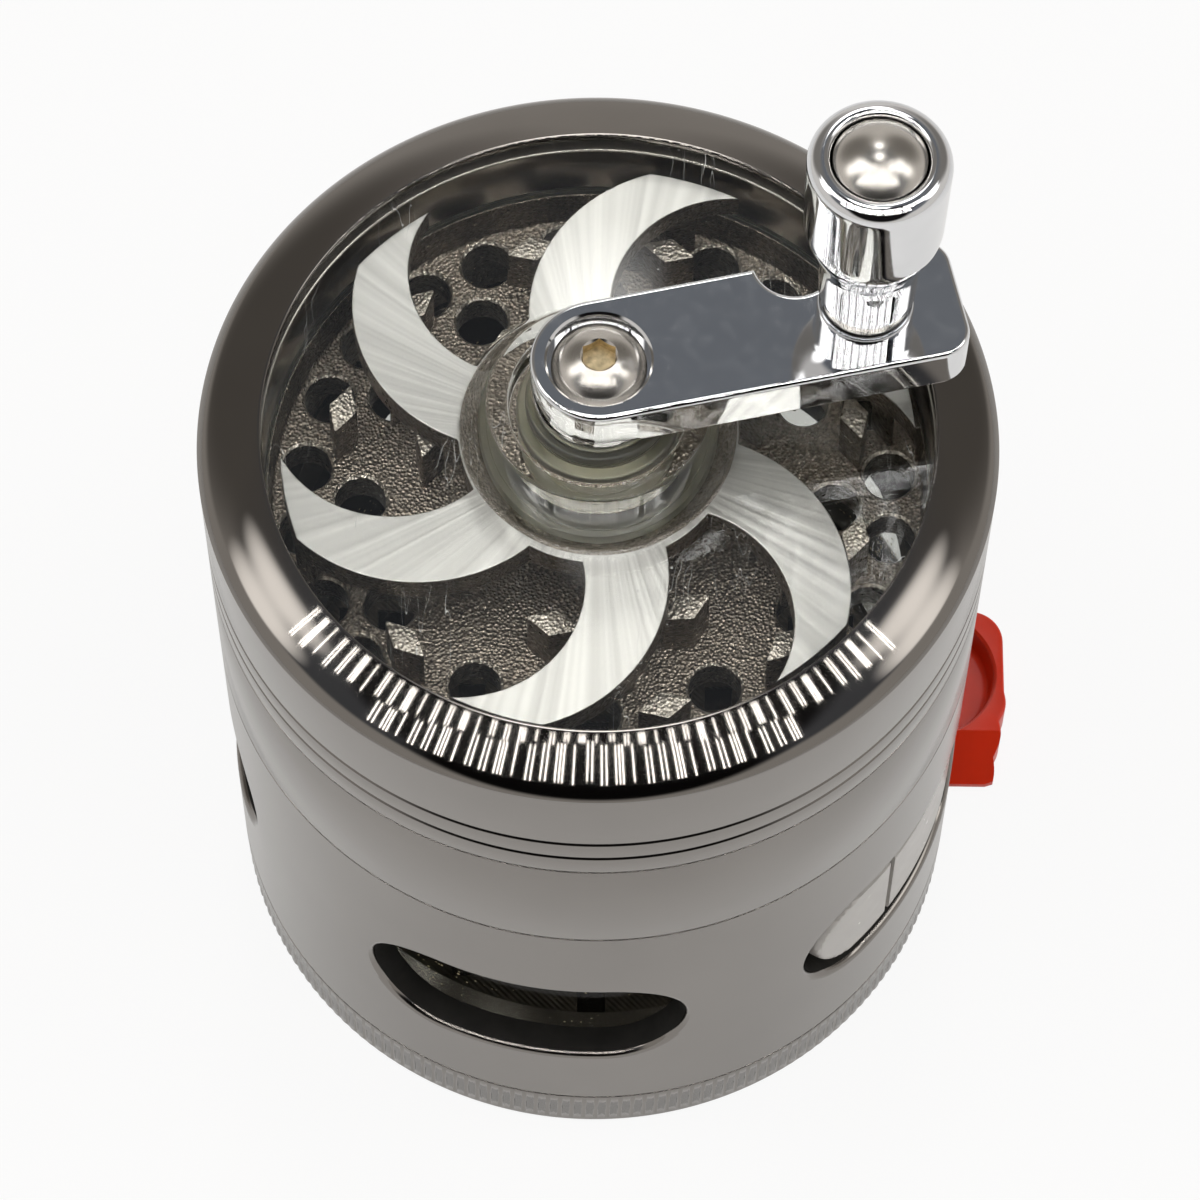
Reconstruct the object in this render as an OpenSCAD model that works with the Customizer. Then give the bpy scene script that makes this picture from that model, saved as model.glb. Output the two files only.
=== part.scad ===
// Hand-crank spice grinder: a stacked metal housing with a windowed catch chamber,
// a clear lid, a six-armed rotor turned by a crank on top, and a loose scraper.
// Millimetres, +Z up, origin at the middle of the face that the grinder stands on.
// Azimuths are counted from -Y, growing towards +X.

/* [Housing] */
// Outside diameter of the housing
body_d = 63; // [61:0.5:68]
// Height of the knurled base skirt
base_h = 5.8; // [5:0.1:8]
// Height of the window section, from seam to seam
window_h = 34.9; // [33:0.1:44]
// Height of the grinding section, from seam to seam
grind_h = 13.55; // [13:0.05:18]
// Height of the lid, from its seam to the inner edge of its rim
lid_h = 15.75; // [15:0.05:19]
// Wall of the window section
wall = 2.7; // [2.4:0.1:2.9]
// Wall left around each screwed socket
socket_wall = 3; // [2.7:0.1:3.3]
// Wall of each screwed spigot
spigot_wall = 2.4; // [1.8:0.1:2.8]
// Length of each screwed spigot
spigot_h = 4.5; // [3.5:0.1:4.8]
// Thickness of the base's floor
base_floor = 2.4; // [1.6:0.1:3.5]
// Bevel on the outer edge at each seam
edge_break = 0.25; // [0.1:0.05:0.4]
// Number of ticks in the base's knurl
knurl_ticks = 188; // [60:4:240]
// Depth of the base's knurl
knurl_depth = 0.2; // [0.1:0.05:0.6]
// Height of the base's knurled band
knurl_h = 3; // [2:0.1:4]

/* [Windows] */
// Length of each window along the outside
slot_len = 28; // [20:0.5:32]
// Height of each window
slot_h = 14; // [10:0.5:16]
// Height of the middle of the windows above the base's seam
slot_rise = 16.7; // [15.5:0.1:18]
// Thickness of the clear liner behind the windows
liner_t = 0.5; // [0.3:0.1:0.8]
// Open gap of the liner's rolled seam
liner_seam = 0.6; // [0.4:0.1:1.5]
// Thickness of the sieve screen
mesh_t = 0.3; // [0.2:0.05:0.5]
// Width of the screen's openings
mesh_hole = 2.4; // [1.6:0.1:3]
// Bars between the screen's openings
mesh_bar = 1.2; // [0.8:0.1:2]

/* [Grinding plate] */
// Thickness of the grinding plate
plate_t = 3; // [2:0.1:4]
// Height of the plate's top above the lid's seam
plate_rise = 1.35; // [1:0.05:2]
// Diameter of the plate's holes
hole_d = 4.2; // [3:0.1:4.4]
// Height of the fixed teeth
tooth_h = 5.2; // [3.5:0.1:5.6]
// Length of a tooth along its ring
tooth_len = 4.6; // [3:0.1:5]
// Width of a tooth across its ring
tooth_w = 2.4; // [1.6:0.1:2.6]

/* [Lid] */
// Width of the domed rim
rim_w = 5.1; // [4.6:0.1:5.6]
// Drop of the domed rim from its inner edge to its outer edge
rim_drop = 2.35; // [1.5:0.05:3.5]
// Thickness of the clear plate
pane_t = 3; // [2:0.1:3.5]
// Radius of the clear hub where it meets the plate
hub_base_r = 10.85; // [9.5:0.05:12]
// Radius of the clear hub at its top
hub_top_r = 8.7; // [8:0.1:9.3]
// Height of the clear hub above the plate
hub_h = 3.9; // [3:0.1:5]
// Radius of the recess in the hub's top
hub_recess_r = 7; // [6.7:0.1:7.6]
// Depth of the recess in the hub's top
hub_recess = 1.8; // [1.2:0.1:2.4]

/* [Rotor] */
// Thickness of the rotor's arms
rotor_t = 2.6; // [2:0.1:3]
// Gap between the rotor's tips and the chamber's wall
rotor_gap = 1.2; // [0.8:0.1:2]
// Radius of each arm's convex back edge
arm_back_r = 13.45; // [12.5:0.05:14]
// Radius of each arm's concave front edge
arm_front_r = 9.9; // [9.3:0.05:10.4]
// Radius of the disc that carries the arms
rotor_hub_r = 10.6; // [9:0.1:11.4]
// Length of the rotor's teeth
rotor_tooth_h = 6.3; // [3.5:0.1:6.6]

/* [Crank] */
// Distance from the shaft to the knob
crank_r = 21.3; // [19:0.1:25]
// Distance of the knob behind the arm's middle line
knob_offset = 1.3; // [0:0.1:1.5]
// Direction of the crank at rest, from +X towards +Y
crank_angle = 13; // [0:1:360]
// Width of the crank arm
arm_w = 10.6; // [10:0.1:12]
// Thickness of the crank arm
arm_t = 4.4; // [4:0.1:6]
// Length of the arm beyond the knob
arm_tail = 7.1; // [5.8:0.1:8]
// Radius of the bite in the arm beside the knob
bite_r = 3.2; // [2:0.1:3.6]
// Radius of the drive shaft
shaft_r = 3; // [2.7:0.1:3.4]
// Thread diameter of the pivot and rotor screws
screw_d = 4; // [3:0.5:4]
// Diameter of the pivot screw's head
screw_head_d = 7.4; // [7:0.1:7.6]
// Height of the pivot screw's head
screw_head_h = 2.2; // [1.6:0.1:2.4]
// Width across the flats of the screws' hex sockets
hex_af = 2.5; // [2:0.5:3]

/* [Knob] */
// Length of the knob
knob_h = 19.1; // [16:0.1:26]
// Radius of the knob's neck
neck_r = 3.75; // [3.5:0.05:4.2]
// Radius of the knob's barrel at its top
barrel_r = 5.45; // [5.2:0.05:6.2]
// Radius of the recess in the knob's top
knob_recess_r = 3.65; // [3.4:0.05:4]
// Depth of the recess in the knob's top
knob_recess = 4.2; // [3.4:0.1:5]
// Radius of the pin that the knob turns on
pin_r = 2; // [1.6:0.1:2.4]

/* [Scraper] */
// Length of the scraper along the wall
scraper_len = 16; // [13:0.1:18]
// Width of the scraper away from the wall
scraper_w = 5.1; // [4.6:0.1:6]
// Thickness of the scraper
scraper_t = 4; // [3.6:0.1:5]
// Length of the ribbed grip
grip_len = 7.9; // [6:0.1:9]
// Number of grip ribs
grip_ribs = 3; // [2:1:5]
// Depth of the thumb hollow
thumb_hollow = 2.9; // [1.5:0.1:3.2]

/* [Clearances] */
// Gap at each seam between two sections
seam_gap = 0.3; // [0.2:0.05:0.4]
// Radial gap between a screwed spigot and its socket
thread_gap = 0.3; // [0.25:0.05:0.4]
// Gap between the end of a spigot and the bottom of its socket
end_gap = 0.4; // [0.3:0.05:0.6]
// Radial gap between a turning pin or shaft and its bore
run_gap = 0.05; // [0.02:0.01:0.1]
// End gap beside a turning piece
play = 0.3; // [0.2:0.05:0.4]
// Radial gap around pieces that are pushed into a bore
push_gap = 0.1; // [0.05:0.05:0.2]

/* [Hidden] */
$fn = 96;
eps = 0.01;

nickel = "#76716c";
nickel_dark = "#55504c";
satin = "#c9c5bd";
chrome = "#d8dade";
steel = "#a9a59d";
acrylic = [0.85, 0.9, 0.92, 0.35];
nylon = "#e4dfc4";
red = "#e23a1c";

// Step between the knurl's ticks and the plain bands above and below them
knurl_step = 0.05;

// Radii shared by pieces that fit together
body_r = body_d / 2;
socket_r = body_r - socket_wall;
spigot_r = socket_r - thread_gap;
spigot_in_r = spigot_r - spigot_wall;
chamber_r = body_r - wall;
ledge_w = 2.2;
ledge_r = chamber_r - ledge_w;
throat_step = 1.5;
throat_r = socket_r - throat_step;
lid_skirt = 2.8;
lid_socket_r = body_r - lid_skirt;
collar_r = lid_socket_r - thread_gap;
collar_wall = 2.2;
grind_r = collar_r - collar_wall;
rim_in_r = body_r - rim_w;
lip_w = 1.6;
lid_bore_r = rim_in_r + lip_w;
// Slopes of the rim's two arcs: at its inner edge, where they meet, and at the crease above the wall
rim_slopes = [8, 27, 58];
rim_share = 0.8;

// Heights of the seams and of what stands on them
z_base = base_h;
z_window = z_base + window_h;
z_grind = z_window + grind_h;
z_rim = z_grind + lid_h;
z_socket_base = z_base + spigot_h + end_gap;
z_socket_grind = z_window + spigot_h + end_gap;
ledge_t = 1.5;
z_mesh = z_socket_base + ledge_t;
z_mesh_ring = z_mesh + mesh_t;
mesh_ring_t = 1.3;
z_liner = z_mesh_ring + mesh_ring_t + push_gap;
shoulder_t = 2.4;
z_shoulder = z_window - shoulder_t;
z_plate = z_grind + plate_rise;
collar_h = 5.55;
z_collar = z_grind + collar_h;
friction_t = 0.5;
z_sleeve = z_collar + friction_t + play;
lip_t = 0.5;
z_pane_top = z_rim - lip_t;
z_pane = z_pane_top - pane_t;
z_hub = z_pane_top + hub_h;
z_recess = z_hub - hub_recess;

// Grooves turned into the lid's side, as heights above the lid's seam
lid_grooves = [2.8, 5.4];
groove_w = 0.5;
groove_d = 0.35;

// Windows, liner and screen
window_azimuths = [-92, -10.7, 60.5, 130, 199];
liner_seam_azimuth = 54;
z_slot = z_base + slot_rise;
slot_half = (slot_len - slot_h) / 2 / body_r * 180 / PI;
slot_reach = 2;
mesh_pitch = mesh_hole + mesh_bar;
ring_opening = 12;

// Rings of holes and teeth
hole_edge = 0.5;
ring_step = 2.5;
outer_hole_ring = grind_r - hole_edge - hole_d / 2;
outer_tooth_ring = outer_hole_ring - ring_step;
inner_hole_ring = outer_tooth_ring - 2.2;
inner_tooth_ring = outer_tooth_ring - 7.4;
hole_steps = 12;
hole_pair_half = 7;
outer_teeth = 12;
outer_tooth_phase = 15;
inner_teeth = 8;
inner_tooth_phase = 31;

// Rotor, hung on the shaft under the clear plate
thrust_t = 0.3;
z_rotor_top = z_pane - play - thrust_t;
z_rotor = z_rotor_top - rotor_t;
rotor_r = grind_r - rotor_gap;
rotor_arms = 6;
rotor_phase = 67.3;
arm_back_at = [rotor_r - 11.1, -2.65];
arm_front_at = [rotor_r - 9.3, -5.1];
arm_sector = [-9, 78];
rotor_inner_ring = (outer_tooth_ring + inner_tooth_ring) / 2;
rotor_outer_ring = rotor_r - 1.2;
rotor_inner_turn = 26;
rotor_outer_turn = 9;
rotor_outer_tooth = 0.85;
shaft_step = 0.5;
shaft_end_r = shaft_r - shaft_step;
washer_t = 1;
z_rotor_washer = z_rotor - washer_t;
rotor_head_h = 1.4;
rotor_head_r = 3.6;
rotor_washer_r = 5;

// Stack above the hub
flange_t = 1;
flange_r = 6.4;
bush_wall = 1.6;
bush_r = shaft_r + bush_wall;
z_flange = z_recess + flange_t;
spacer_t = 1.4;
spacer_r = 5.7;
z_spacer = z_flange + play;
collar_t = 1.5;
arm_collar_r = 5;
z_arm = z_spacer + spacer_t + collar_t;
z_arm_top = z_arm + arm_t;
head_gap = 0.3;
counterbore_r = screw_head_d / 2 + head_gap;
head_proud = 1;
z_head = z_arm_top + head_proud - screw_head_h;
z_shaft_top = z_head - end_gap;
screw_grip = 7;
socket_depth = 1.2;
arm_corner = 2.4;
bite_at = [crank_r - 4.7, arm_w / 2 + 0.2];

// Knob and its pin
knob_at = [crank_r, knob_offset];
pin_foot = 0.4;
pin_head_r = knob_recess_r - 0.15;
pin_dome = 1.45;
pin_sink = 0.35;
knob_washer_t = 0.5;
knob_washer_r = 3.4;
z_knob = z_arm_top + knob_washer_t + play;
z_knob_top = z_knob + knob_h;
z_knob_recess = z_knob_top - knob_recess;
z_pin_head = z_knob_recess + play;
pin_head_h = z_knob_top - pin_sink - z_pin_head + pin_dome;
knob_round = 1.2;
flare_low = 0.24;
flare_high = 0.54;
barrel_taper = 0.3;

// Scraper lying beside the wall
scraper_gap = 0.5;
scraper_front = 1.2;
scraper_corner = 3;
scraper_tip = 3.4;
grip_root = 3.55;
grip_lead = 1;
rib_h = 0.35;
hollow_r = 6.1;
hollow_at = [-1.9, 9.6];
wedge_len = 3.9;
wedge_drop = 3.2;

// A flat ring of radii inner and outer, from height low to height high
module ring(inner, outer, low, high) {
    rotate_extrude()
        translate([inner, low])
            square([outer - inner, high - low]);
}

// A domed head that stands on z = 0
module dome(r, h, edge) {
    sphere_r = (r * r + (h - edge) * (h - edge)) / (2 * (h - edge));
    rotate_extrude()
        polygon(concat(
            [[0, 0], [r, 0]],
            [for (i = [0 : 10])
                let (x = r * (1 - i / 10))
                [x, h - sphere_r + sqrt(sphere_r * sphere_r - x * x)]]));
}

// A hexagon socket, cut down from z = 0
module hex_socket(depth) {
    translate([0, 0, -depth])
        cylinder(h = depth + eps, r = hex_af / sqrt(3), $fn = 6);
}

// Places its children at the crank's angle at rest
module along_crank() {
    rotate([0, 0, crank_angle])
        children();
}

module knurled_disc() {
    step = 360 / knurl_ticks;
    polygon([for (i = [0 : knurl_ticks - 1], k = [0 : 3])
        let (a = step * (i + k / 4), r = body_r - knurl_step - (k < 2 ? 0 : knurl_depth))
        [r * cos(a), r * sin(a)]]);
}

module base_pan() {
    margin = 0.6;
    color(nickel)
        difference() {
            union() {
                cylinder(h = z_base, r = body_r - knurl_depth - 2 * knurl_step);
                translate([0, 0, margin])
                    linear_extrude(knurl_h)
                        knurled_disc();
                translate([0, 0, margin + knurl_h])
                    cylinder(h = z_base - margin - knurl_h, r = body_r);
                cylinder(h = z_base + spigot_h, r = spigot_r);
            }
            translate([0, 0, base_floor])
                cylinder(h = z_base + spigot_h, r = spigot_in_r);
        }
}

// One window, cut through the wall at azimuth 0
module window_slot() {
    inside = chamber_r - slot_reach;
    depth = wall + 2 * slot_reach;
    rotate([0, 0, -90 - slot_half])
        rotate_extrude(angle = 2 * slot_half)
            translate([inside, z_slot - slot_h / 2])
                square([depth, slot_h]);
    for (side = [-1, 1])
        rotate([0, 0, side * slot_half])
            translate([0, -inside, z_slot])
                rotate([90, 0, 0])
                    cylinder(h = depth, r = slot_h / 2);
}

module window_body() {
    low = z_base + seam_gap;
    color(nickel)
        difference() {
            rotate_extrude()
                polygon([
                    [body_r - edge_break, low],
                    [body_r, low + edge_break],
                    [body_r, z_window - edge_break],
                    [body_r - edge_break, z_window],
                    [spigot_r, z_window],
                    [spigot_r, z_window + spigot_h],
                    [spigot_in_r, z_window + spigot_h],
                    [spigot_in_r, z_shoulder],
                    [chamber_r, z_shoulder],
                    [chamber_r, z_mesh],
                    [ledge_r, z_mesh],
                    [ledge_r, z_socket_base],
                    [socket_r, z_socket_base],
                    [socket_r, low]
                ]);
            for (azimuth = window_azimuths)
                rotate([0, 0, azimuth])
                    window_slot();
        }
}

module window_liner() {
    outer = chamber_r - push_gap;
    seam_turn = liner_seam / outer * 180 / PI;
    color(acrylic)
        rotate([0, 0, liner_seam_azimuth - 90 + seam_turn / 2])
            rotate_extrude(angle = 360 - seam_turn)
                translate([outer - liner_t, z_liner])
                    square([liner_t, z_shoulder - push_gap - z_liner]);
}

module sieve_mesh() {
    screen_r = chamber_r - push_gap;
    margin = 3.5;
    count = floor((screen_r - margin) / mesh_pitch);
    color(steel)
        translate([0, 0, z_mesh])
            linear_extrude(mesh_t)
                difference() {
                    circle(r = screen_r);
                    for (i = [-count : count], j = [-count : count])
                        if (norm([i, j]) * mesh_pitch < screen_r - margin)
                            translate([i * mesh_pitch, j * mesh_pitch])
                                square(mesh_hole, center = true);
                }
}

module sieve_ring() {
    color(steel)
        rotate_extrude(angle = 360 - ring_opening)
            translate([ledge_r, z_mesh_ring])
                square([chamber_r - push_gap - ledge_r, mesh_ring_t]);
}

// A diamond tooth with its long axis along its ring
module tooth(scale_w = 1) {
    w = tooth_w * scale_w;
    polygon([[-w / 2, 0], [0, -tooth_len / 2], [w / 2, 0], [0, tooth_len / 2]]);
}

module grinding_body() {
    low = z_window + seam_gap;
    color(nickel_dark) {
        difference() {
            rotate_extrude()
                polygon([
                    [body_r - edge_break, low],
                    [body_r, low + edge_break],
                    [body_r, z_grind - edge_break],
                    [body_r - edge_break, z_grind],
                    [collar_r, z_grind],
                    [collar_r, z_collar],
                    [grind_r, z_collar],
                    [grind_r, z_plate],
                    [0, z_plate],
                    [0, z_plate - plate_t],
                    [throat_r, z_plate - plate_t],
                    [throat_r, z_socket_grind],
                    [socket_r, z_socket_grind],
                    [socket_r, low]
                ]);
            for (i = [0 : hole_steps - 1])
                rotate([0, 0, i * 360 / hole_steps]) {
                    plate_hole(inner_hole_ring, 0);
                    plate_hole(outer_hole_ring, hole_pair_half);
                    plate_hole(outer_hole_ring, -hole_pair_half);
                }
        }
        fixed_teeth(outer_tooth_ring, outer_teeth, outer_tooth_phase);
        fixed_teeth(inner_tooth_ring, inner_teeth, inner_tooth_phase);
    }
}

module plate_hole(ring_r, turn) {
    rotate([0, 0, turn])
        translate([ring_r, 0, z_plate - plate_t - 1])
            cylinder(h = plate_t + 2, r = hole_d / 2, $fn = 32);
}

module fixed_teeth(ring_r, count, phase) {
    root = 0.5;
    for (i = [0 : count - 1])
        rotate([0, 0, phase + i * 360 / count])
            translate([ring_r, 0, z_plate - root])
                linear_extrude(tooth_h + root)
                    tooth();
}

module friction_ring() {
    color(nylon)
        ring(grind_r + push_gap, collar_r - push_gap, z_collar, z_collar + friction_t);
}

// Radius of the arc that spans a width between two slopes
function arc_r(width, first, last) = width / (sin(last) - sin(first));

// Points of an arc that starts at a place and falls from one slope to another
function falling_arc(start, r, first, last, steps) =
    [for (i = [0 : steps])
        let (a = first + (last - first) * i / steps)
        start + r * [sin(a) - sin(first), cos(a) - cos(first)]];

// The rim's top, from its inner edge out to the crease, scaled to the rim's drop
function rim_top() =
    let (
        inner = falling_arc([0, 0], arc_r(rim_share * rim_w, rim_slopes[0], rim_slopes[1]),
            rim_slopes[0], rim_slopes[1], 8),
        outer = falling_arc(inner[8], arc_r((1 - rim_share) * rim_w, rim_slopes[1], rim_slopes[2]),
            rim_slopes[1], rim_slopes[2], 8),
        fall = rim_drop / -outer[8].y
    )
    [for (p = concat(inner, [for (i = [1 : 8]) outer[i]])) [rim_in_r + p.x, z_rim + p.y * fall]];

module lid_ring() {
    low = z_grind + seam_gap;
    top = rim_top();
    color(nickel)
        rotate_extrude()
            polygon(concat(
                [[body_r - edge_break, low], [body_r, low + edge_break]],
                [for (g = lid_grooves, k = [-1 : 1])
                    [body_r - (k == 0 ? groove_d : 0), z_grind + g + k * groove_w / 2]],
                [for (i = [len(top) - 1 : -1 : 0]) top[i]],
                [[rim_in_r, z_pane_top], [lid_bore_r, z_pane_top],
                    [lid_bore_r, z_sleeve], [lid_socket_r, z_sleeve],
                    [lid_socket_r, low]]));
}

module lid_sleeve() {
    color(nickel_dark)
        ring(rim_in_r, lid_bore_r, z_sleeve, z_pane);
}

module clear_lid() {
    pane_r = lid_bore_r - push_gap;
    color(acrylic)
        rotate_extrude()
            polygon([
                [bush_r, z_pane],
                [pane_r, z_pane],
                [pane_r, z_pane_top],
                [hub_base_r, z_pane_top],
                [hub_top_r, z_hub],
                [hub_recess_r, z_hub],
                [hub_recess_r, z_recess],
                [bush_r, z_recess]
            ]);
}

module shaft_bush() {
    bore = shaft_r + run_gap;
    color(nylon)
        rotate_extrude()
            polygon([
                [bore, z_pane],
                [bush_r, z_pane],
                [bush_r, z_recess],
                [flange_r, z_recess],
                [flange_r, z_flange],
                [bore, z_flange]
            ]);
}

module drive_shaft() {
    color(steel)
        difference() {
            union() {
                translate([0, 0, z_rotor])
                    cylinder(h = z_shaft_top - z_rotor, r = shaft_end_r);
                translate([0, 0, z_rotor_top])
                    cylinder(h = z_shaft_top - z_rotor_top, r = shaft_r);
            }
            translate([0, 0, z_head - screw_grip - end_gap])
                cylinder(h = screw_grip + 1, r = screw_d / 2, $fn = 48);
            translate([0, 0, z_rotor - 1])
                cylinder(h = rotor_t + 1 + screw_grip / 2, r = screw_d / 2, $fn = 48);
        }
}

module thrust_washer() {
    color(nylon)
        ring(shaft_r, flange_r, z_rotor_top, z_rotor_top + thrust_t);
}

// One crescent arm, with its tip on the X axis
module rotor_arm() {
    intersection() {
        circle(r = rotor_r);
        difference() {
            translate(arm_back_at)
                circle(r = arm_back_r);
            translate(arm_front_at)
                circle(r = arm_front_r);
        }
        polygon(concat(
            [[0, 0]],
            [for (a = arm_sector) 2 * rotor_r * [cos(a), sin(a)]]));
    }
}

module rotor_tooth(ring_r, turn, scale_w) {
    root = 0.5;
    rotate([0, 0, turn])
        translate([ring_r, 0, z_rotor - rotor_tooth_h])
            linear_extrude(rotor_tooth_h + root)
                tooth(scale_w);
}

module rotor() {
    color(satin)
        rotate([0, 0, rotor_phase]) {
            difference() {
                translate([0, 0, z_rotor])
                    linear_extrude(rotor_t)
                        union() {
                            circle(r = rotor_hub_r);
                            for (i = [0 : rotor_arms - 1])
                                rotate(i * 360 / rotor_arms)
                                    rotor_arm();
                        }
                translate([0, 0, z_rotor - 1])
                    cylinder(h = rotor_t + 2, r = shaft_end_r);
            }
            for (i = [0 : rotor_arms - 1])
                rotate([0, 0, i * 360 / rotor_arms]) {
                    rotor_tooth(rotor_inner_ring, rotor_inner_turn, 1);
                    rotor_tooth(rotor_outer_ring, rotor_outer_turn, rotor_outer_tooth);
                }
        }
}

module rotor_washer() {
    color(steel)
        ring(screw_d / 2, rotor_washer_r, z_rotor_washer, z_rotor);
}

module rotor_screw() {
    color(steel)
        difference() {
            union() {
                translate([0, 0, z_rotor_washer - rotor_head_h])
                    cylinder(h = rotor_head_h, r = rotor_head_r);
                translate([0, 0, z_rotor_washer - eps])
                    cylinder(h = washer_t + rotor_t + 2, r = screw_d / 2, $fn = 48);
            }
            translate([0, 0, z_rotor_washer - rotor_head_h])
                mirror([0, 0, 1])
                    hex_socket(rotor_head_h / 2);
        }
}

module spacer_washer() {
    color(nylon)
        ring(shaft_r, spacer_r, z_spacer, z_spacer + spacer_t);
}

module arm_collar() {
    color(chrome)
        ring(shaft_r, arm_collar_r, z_spacer + spacer_t, z_arm);
}

// Outline of the crank arm, with the shaft at the origin and the knob on +X
module arm_plan() {
    half = arm_w / 2;
    tip = crank_r + arm_tail;
    difference() {
        union() {
            circle(r = half);
            translate([0, -half])
                square([tip - arm_corner, arm_w]);
            translate([0, arm_corner - half])
                square([tip, arm_w - 2 * arm_corner]);
            for (side = [-1, 1])
                translate([tip - arm_corner, side * (half - arm_corner)])
                    circle(r = arm_corner);
        }
        translate(bite_at)
            circle(r = bite_r);
    }
}

module crank_arm() {
    color(chrome)
        along_crank()
            difference() {
                translate([0, 0, z_arm])
                    linear_extrude(arm_t)
                        arm_plan();
                translate([0, 0, z_arm - 1])
                    cylinder(h = arm_t + 2, r = shaft_r);
                translate([0, 0, z_head])
                    cylinder(h = arm_t, r = counterbore_r);
                translate([knob_at.x, knob_at.y, z_arm - 1])
                    cylinder(h = arm_t + 2, r = pin_r + pin_foot);
            }
}

module pivot_screw() {
    rim = 0.95;
    color(steel)
        difference() {
            union() {
                translate([0, 0, z_head])
                    dome(screw_head_d / 2, screw_head_h, rim);
                translate([0, 0, z_head - screw_grip])
                    cylinder(h = screw_grip + eps, r = screw_d / 2, $fn = 48);
            }
            translate([0, 0, z_head + screw_head_h])
                rotate([0, 0, 30])
                    hex_socket(socket_depth);
        }
}

module knob_pin() {
    rim = pin_head_h - pin_dome;
    color(steel)
        along_crank()
            translate(knob_at) {
                translate([0, 0, z_arm])
                    cylinder(h = arm_t, r = pin_r + pin_foot);
                translate([0, 0, z_arm])
                    cylinder(h = z_pin_head - z_arm + eps, r = pin_r);
                translate([0, 0, z_pin_head])
                    dome(pin_head_r, pin_head_h, rim);
            }
}

module knob_washer() {
    color(steel)
        along_crank()
            translate(knob_at)
                ring(pin_r, knob_washer_r, z_arm_top, z_arm_top + knob_washer_t);
}

// Radius of the knob at a share of its height: a neck that flares into a barrel
function knob_radius(share) =
    let (t = min(1, max(0, (share - flare_low) / (flare_high - flare_low))))
    let (flare = t * t * (3 - 2 * t))
    neck_r + (barrel_r - barrel_taper - neck_r) * flare + barrel_taper * share;

module knob() {
    steps = 20;
    shoulder = 1 - knob_round / knob_h;
    color(chrome)
        along_crank()
            translate(knob_at)
                rotate_extrude()
                    polygon(concat(
                        [[pin_r + run_gap, z_knob]],
                        [for (i = [0 : steps])
                            let (share = shoulder * i / steps)
                            [knob_radius(share), z_knob + share * knob_h]],
                        [for (a = [15 : 15 : 90])
                            [knob_radius(shoulder) - knob_round * (1 - cos(a)),
                                z_knob_top - knob_round * (1 - sin(a))]],
                        [[knob_recess_r, z_knob_top],
                            [knob_recess_r, z_knob_recess],
                            [pin_r + run_gap, z_knob_recess]]));
}

// Plan of the scraper, with the edge beside the wall at x = 0 and its tip at y = 0
module scraper_plan() {
    rib_count = grip_ribs * 8;
    polygon(concat(
        [[0, 0], [scraper_tip, 0]],
        [for (i = [0 : rib_count])
            let (share = i / rib_count, y = share * (grip_len + grip_lead) - grip_lead)
            if (y > 0)
                [grip_root + (scraper_w - grip_root) * share + rib_h * abs(sin(180 * grip_ribs * share)), y]],
        [for (a = [0 : 15 : 90])
            [scraper_w - scraper_corner * (1 - cos(a)), scraper_len - scraper_corner * (1 - sin(a))]],
        [[0, scraper_len]]));
}

// What is cut away to slope the scraper's tip
module scraper_wedge() {
    slope = wedge_drop / wedge_len;
    rotate([90, 0, 90])
        translate([0, 0, -1])
            linear_extrude(scraper_w + 2)
                polygon([
                    [-1, scraper_t - wedge_drop - slope],
                    [wedge_len, scraper_t],
                    [wedge_len, scraper_t + 1],
                    [-1, scraper_t + 1]
                ]);
}

module scraper() {
    color(red)
        translate([body_r + scraper_gap, scraper_front, 0])
            difference() {
                linear_extrude(scraper_t)
                    scraper_plan();
                translate([hollow_at.x, hollow_at.y, scraper_t - thumb_hollow])
                    cylinder(h = thumb_hollow + 1, r = hollow_r);
                scraper_wedge();
            }
}

base_pan();
window_body();
window_liner();
sieve_mesh();
sieve_ring();
grinding_body();
friction_ring();
lid_ring();
lid_sleeve();
clear_lid();
shaft_bush();
drive_shaft();
thrust_washer();
rotor();
rotor_washer();
rotor_screw();
spacer_washer();
arm_collar();
crank_arm();
pivot_screw();
knob_pin();
knob_washer();
knob();
scraper();
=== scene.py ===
import math

import bmesh
import bpy
from bpy.props import FloatProperty, FloatVectorProperty, IntProperty, PointerProperty
from mathutils import Matrix, Vector


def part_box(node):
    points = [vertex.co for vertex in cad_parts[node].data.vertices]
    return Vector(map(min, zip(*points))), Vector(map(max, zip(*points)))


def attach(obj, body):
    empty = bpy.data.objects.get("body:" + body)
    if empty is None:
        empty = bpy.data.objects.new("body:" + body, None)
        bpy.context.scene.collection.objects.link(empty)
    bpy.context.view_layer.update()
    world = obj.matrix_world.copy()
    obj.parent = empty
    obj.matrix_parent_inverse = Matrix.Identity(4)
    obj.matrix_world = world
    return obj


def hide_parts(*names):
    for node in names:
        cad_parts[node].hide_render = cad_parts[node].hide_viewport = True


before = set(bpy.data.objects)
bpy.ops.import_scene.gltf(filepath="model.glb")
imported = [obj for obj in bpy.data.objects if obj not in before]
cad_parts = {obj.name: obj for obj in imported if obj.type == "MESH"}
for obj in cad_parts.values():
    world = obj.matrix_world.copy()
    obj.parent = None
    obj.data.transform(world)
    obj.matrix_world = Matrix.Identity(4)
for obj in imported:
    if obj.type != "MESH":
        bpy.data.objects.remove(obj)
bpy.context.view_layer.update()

bl_info = {
    "name": "Hand-Crank Spice Grinder",
    "version": (1, 0, 0),
    "blender": (4, 5, 0),
    "location": "3D View > Sidebar > Grinder",
    "description": "Dresses a four-piece crank grinder with turned, plated, clear and moulded pieces",
    "category": "Object",
}

MM = 0.001
# How far a cutter reaches past what it cuts.
OVER = 1 * MM
# Radius of the pin's seat in the crank arm.
PIN_SEAT = 2.4 * MM
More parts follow.
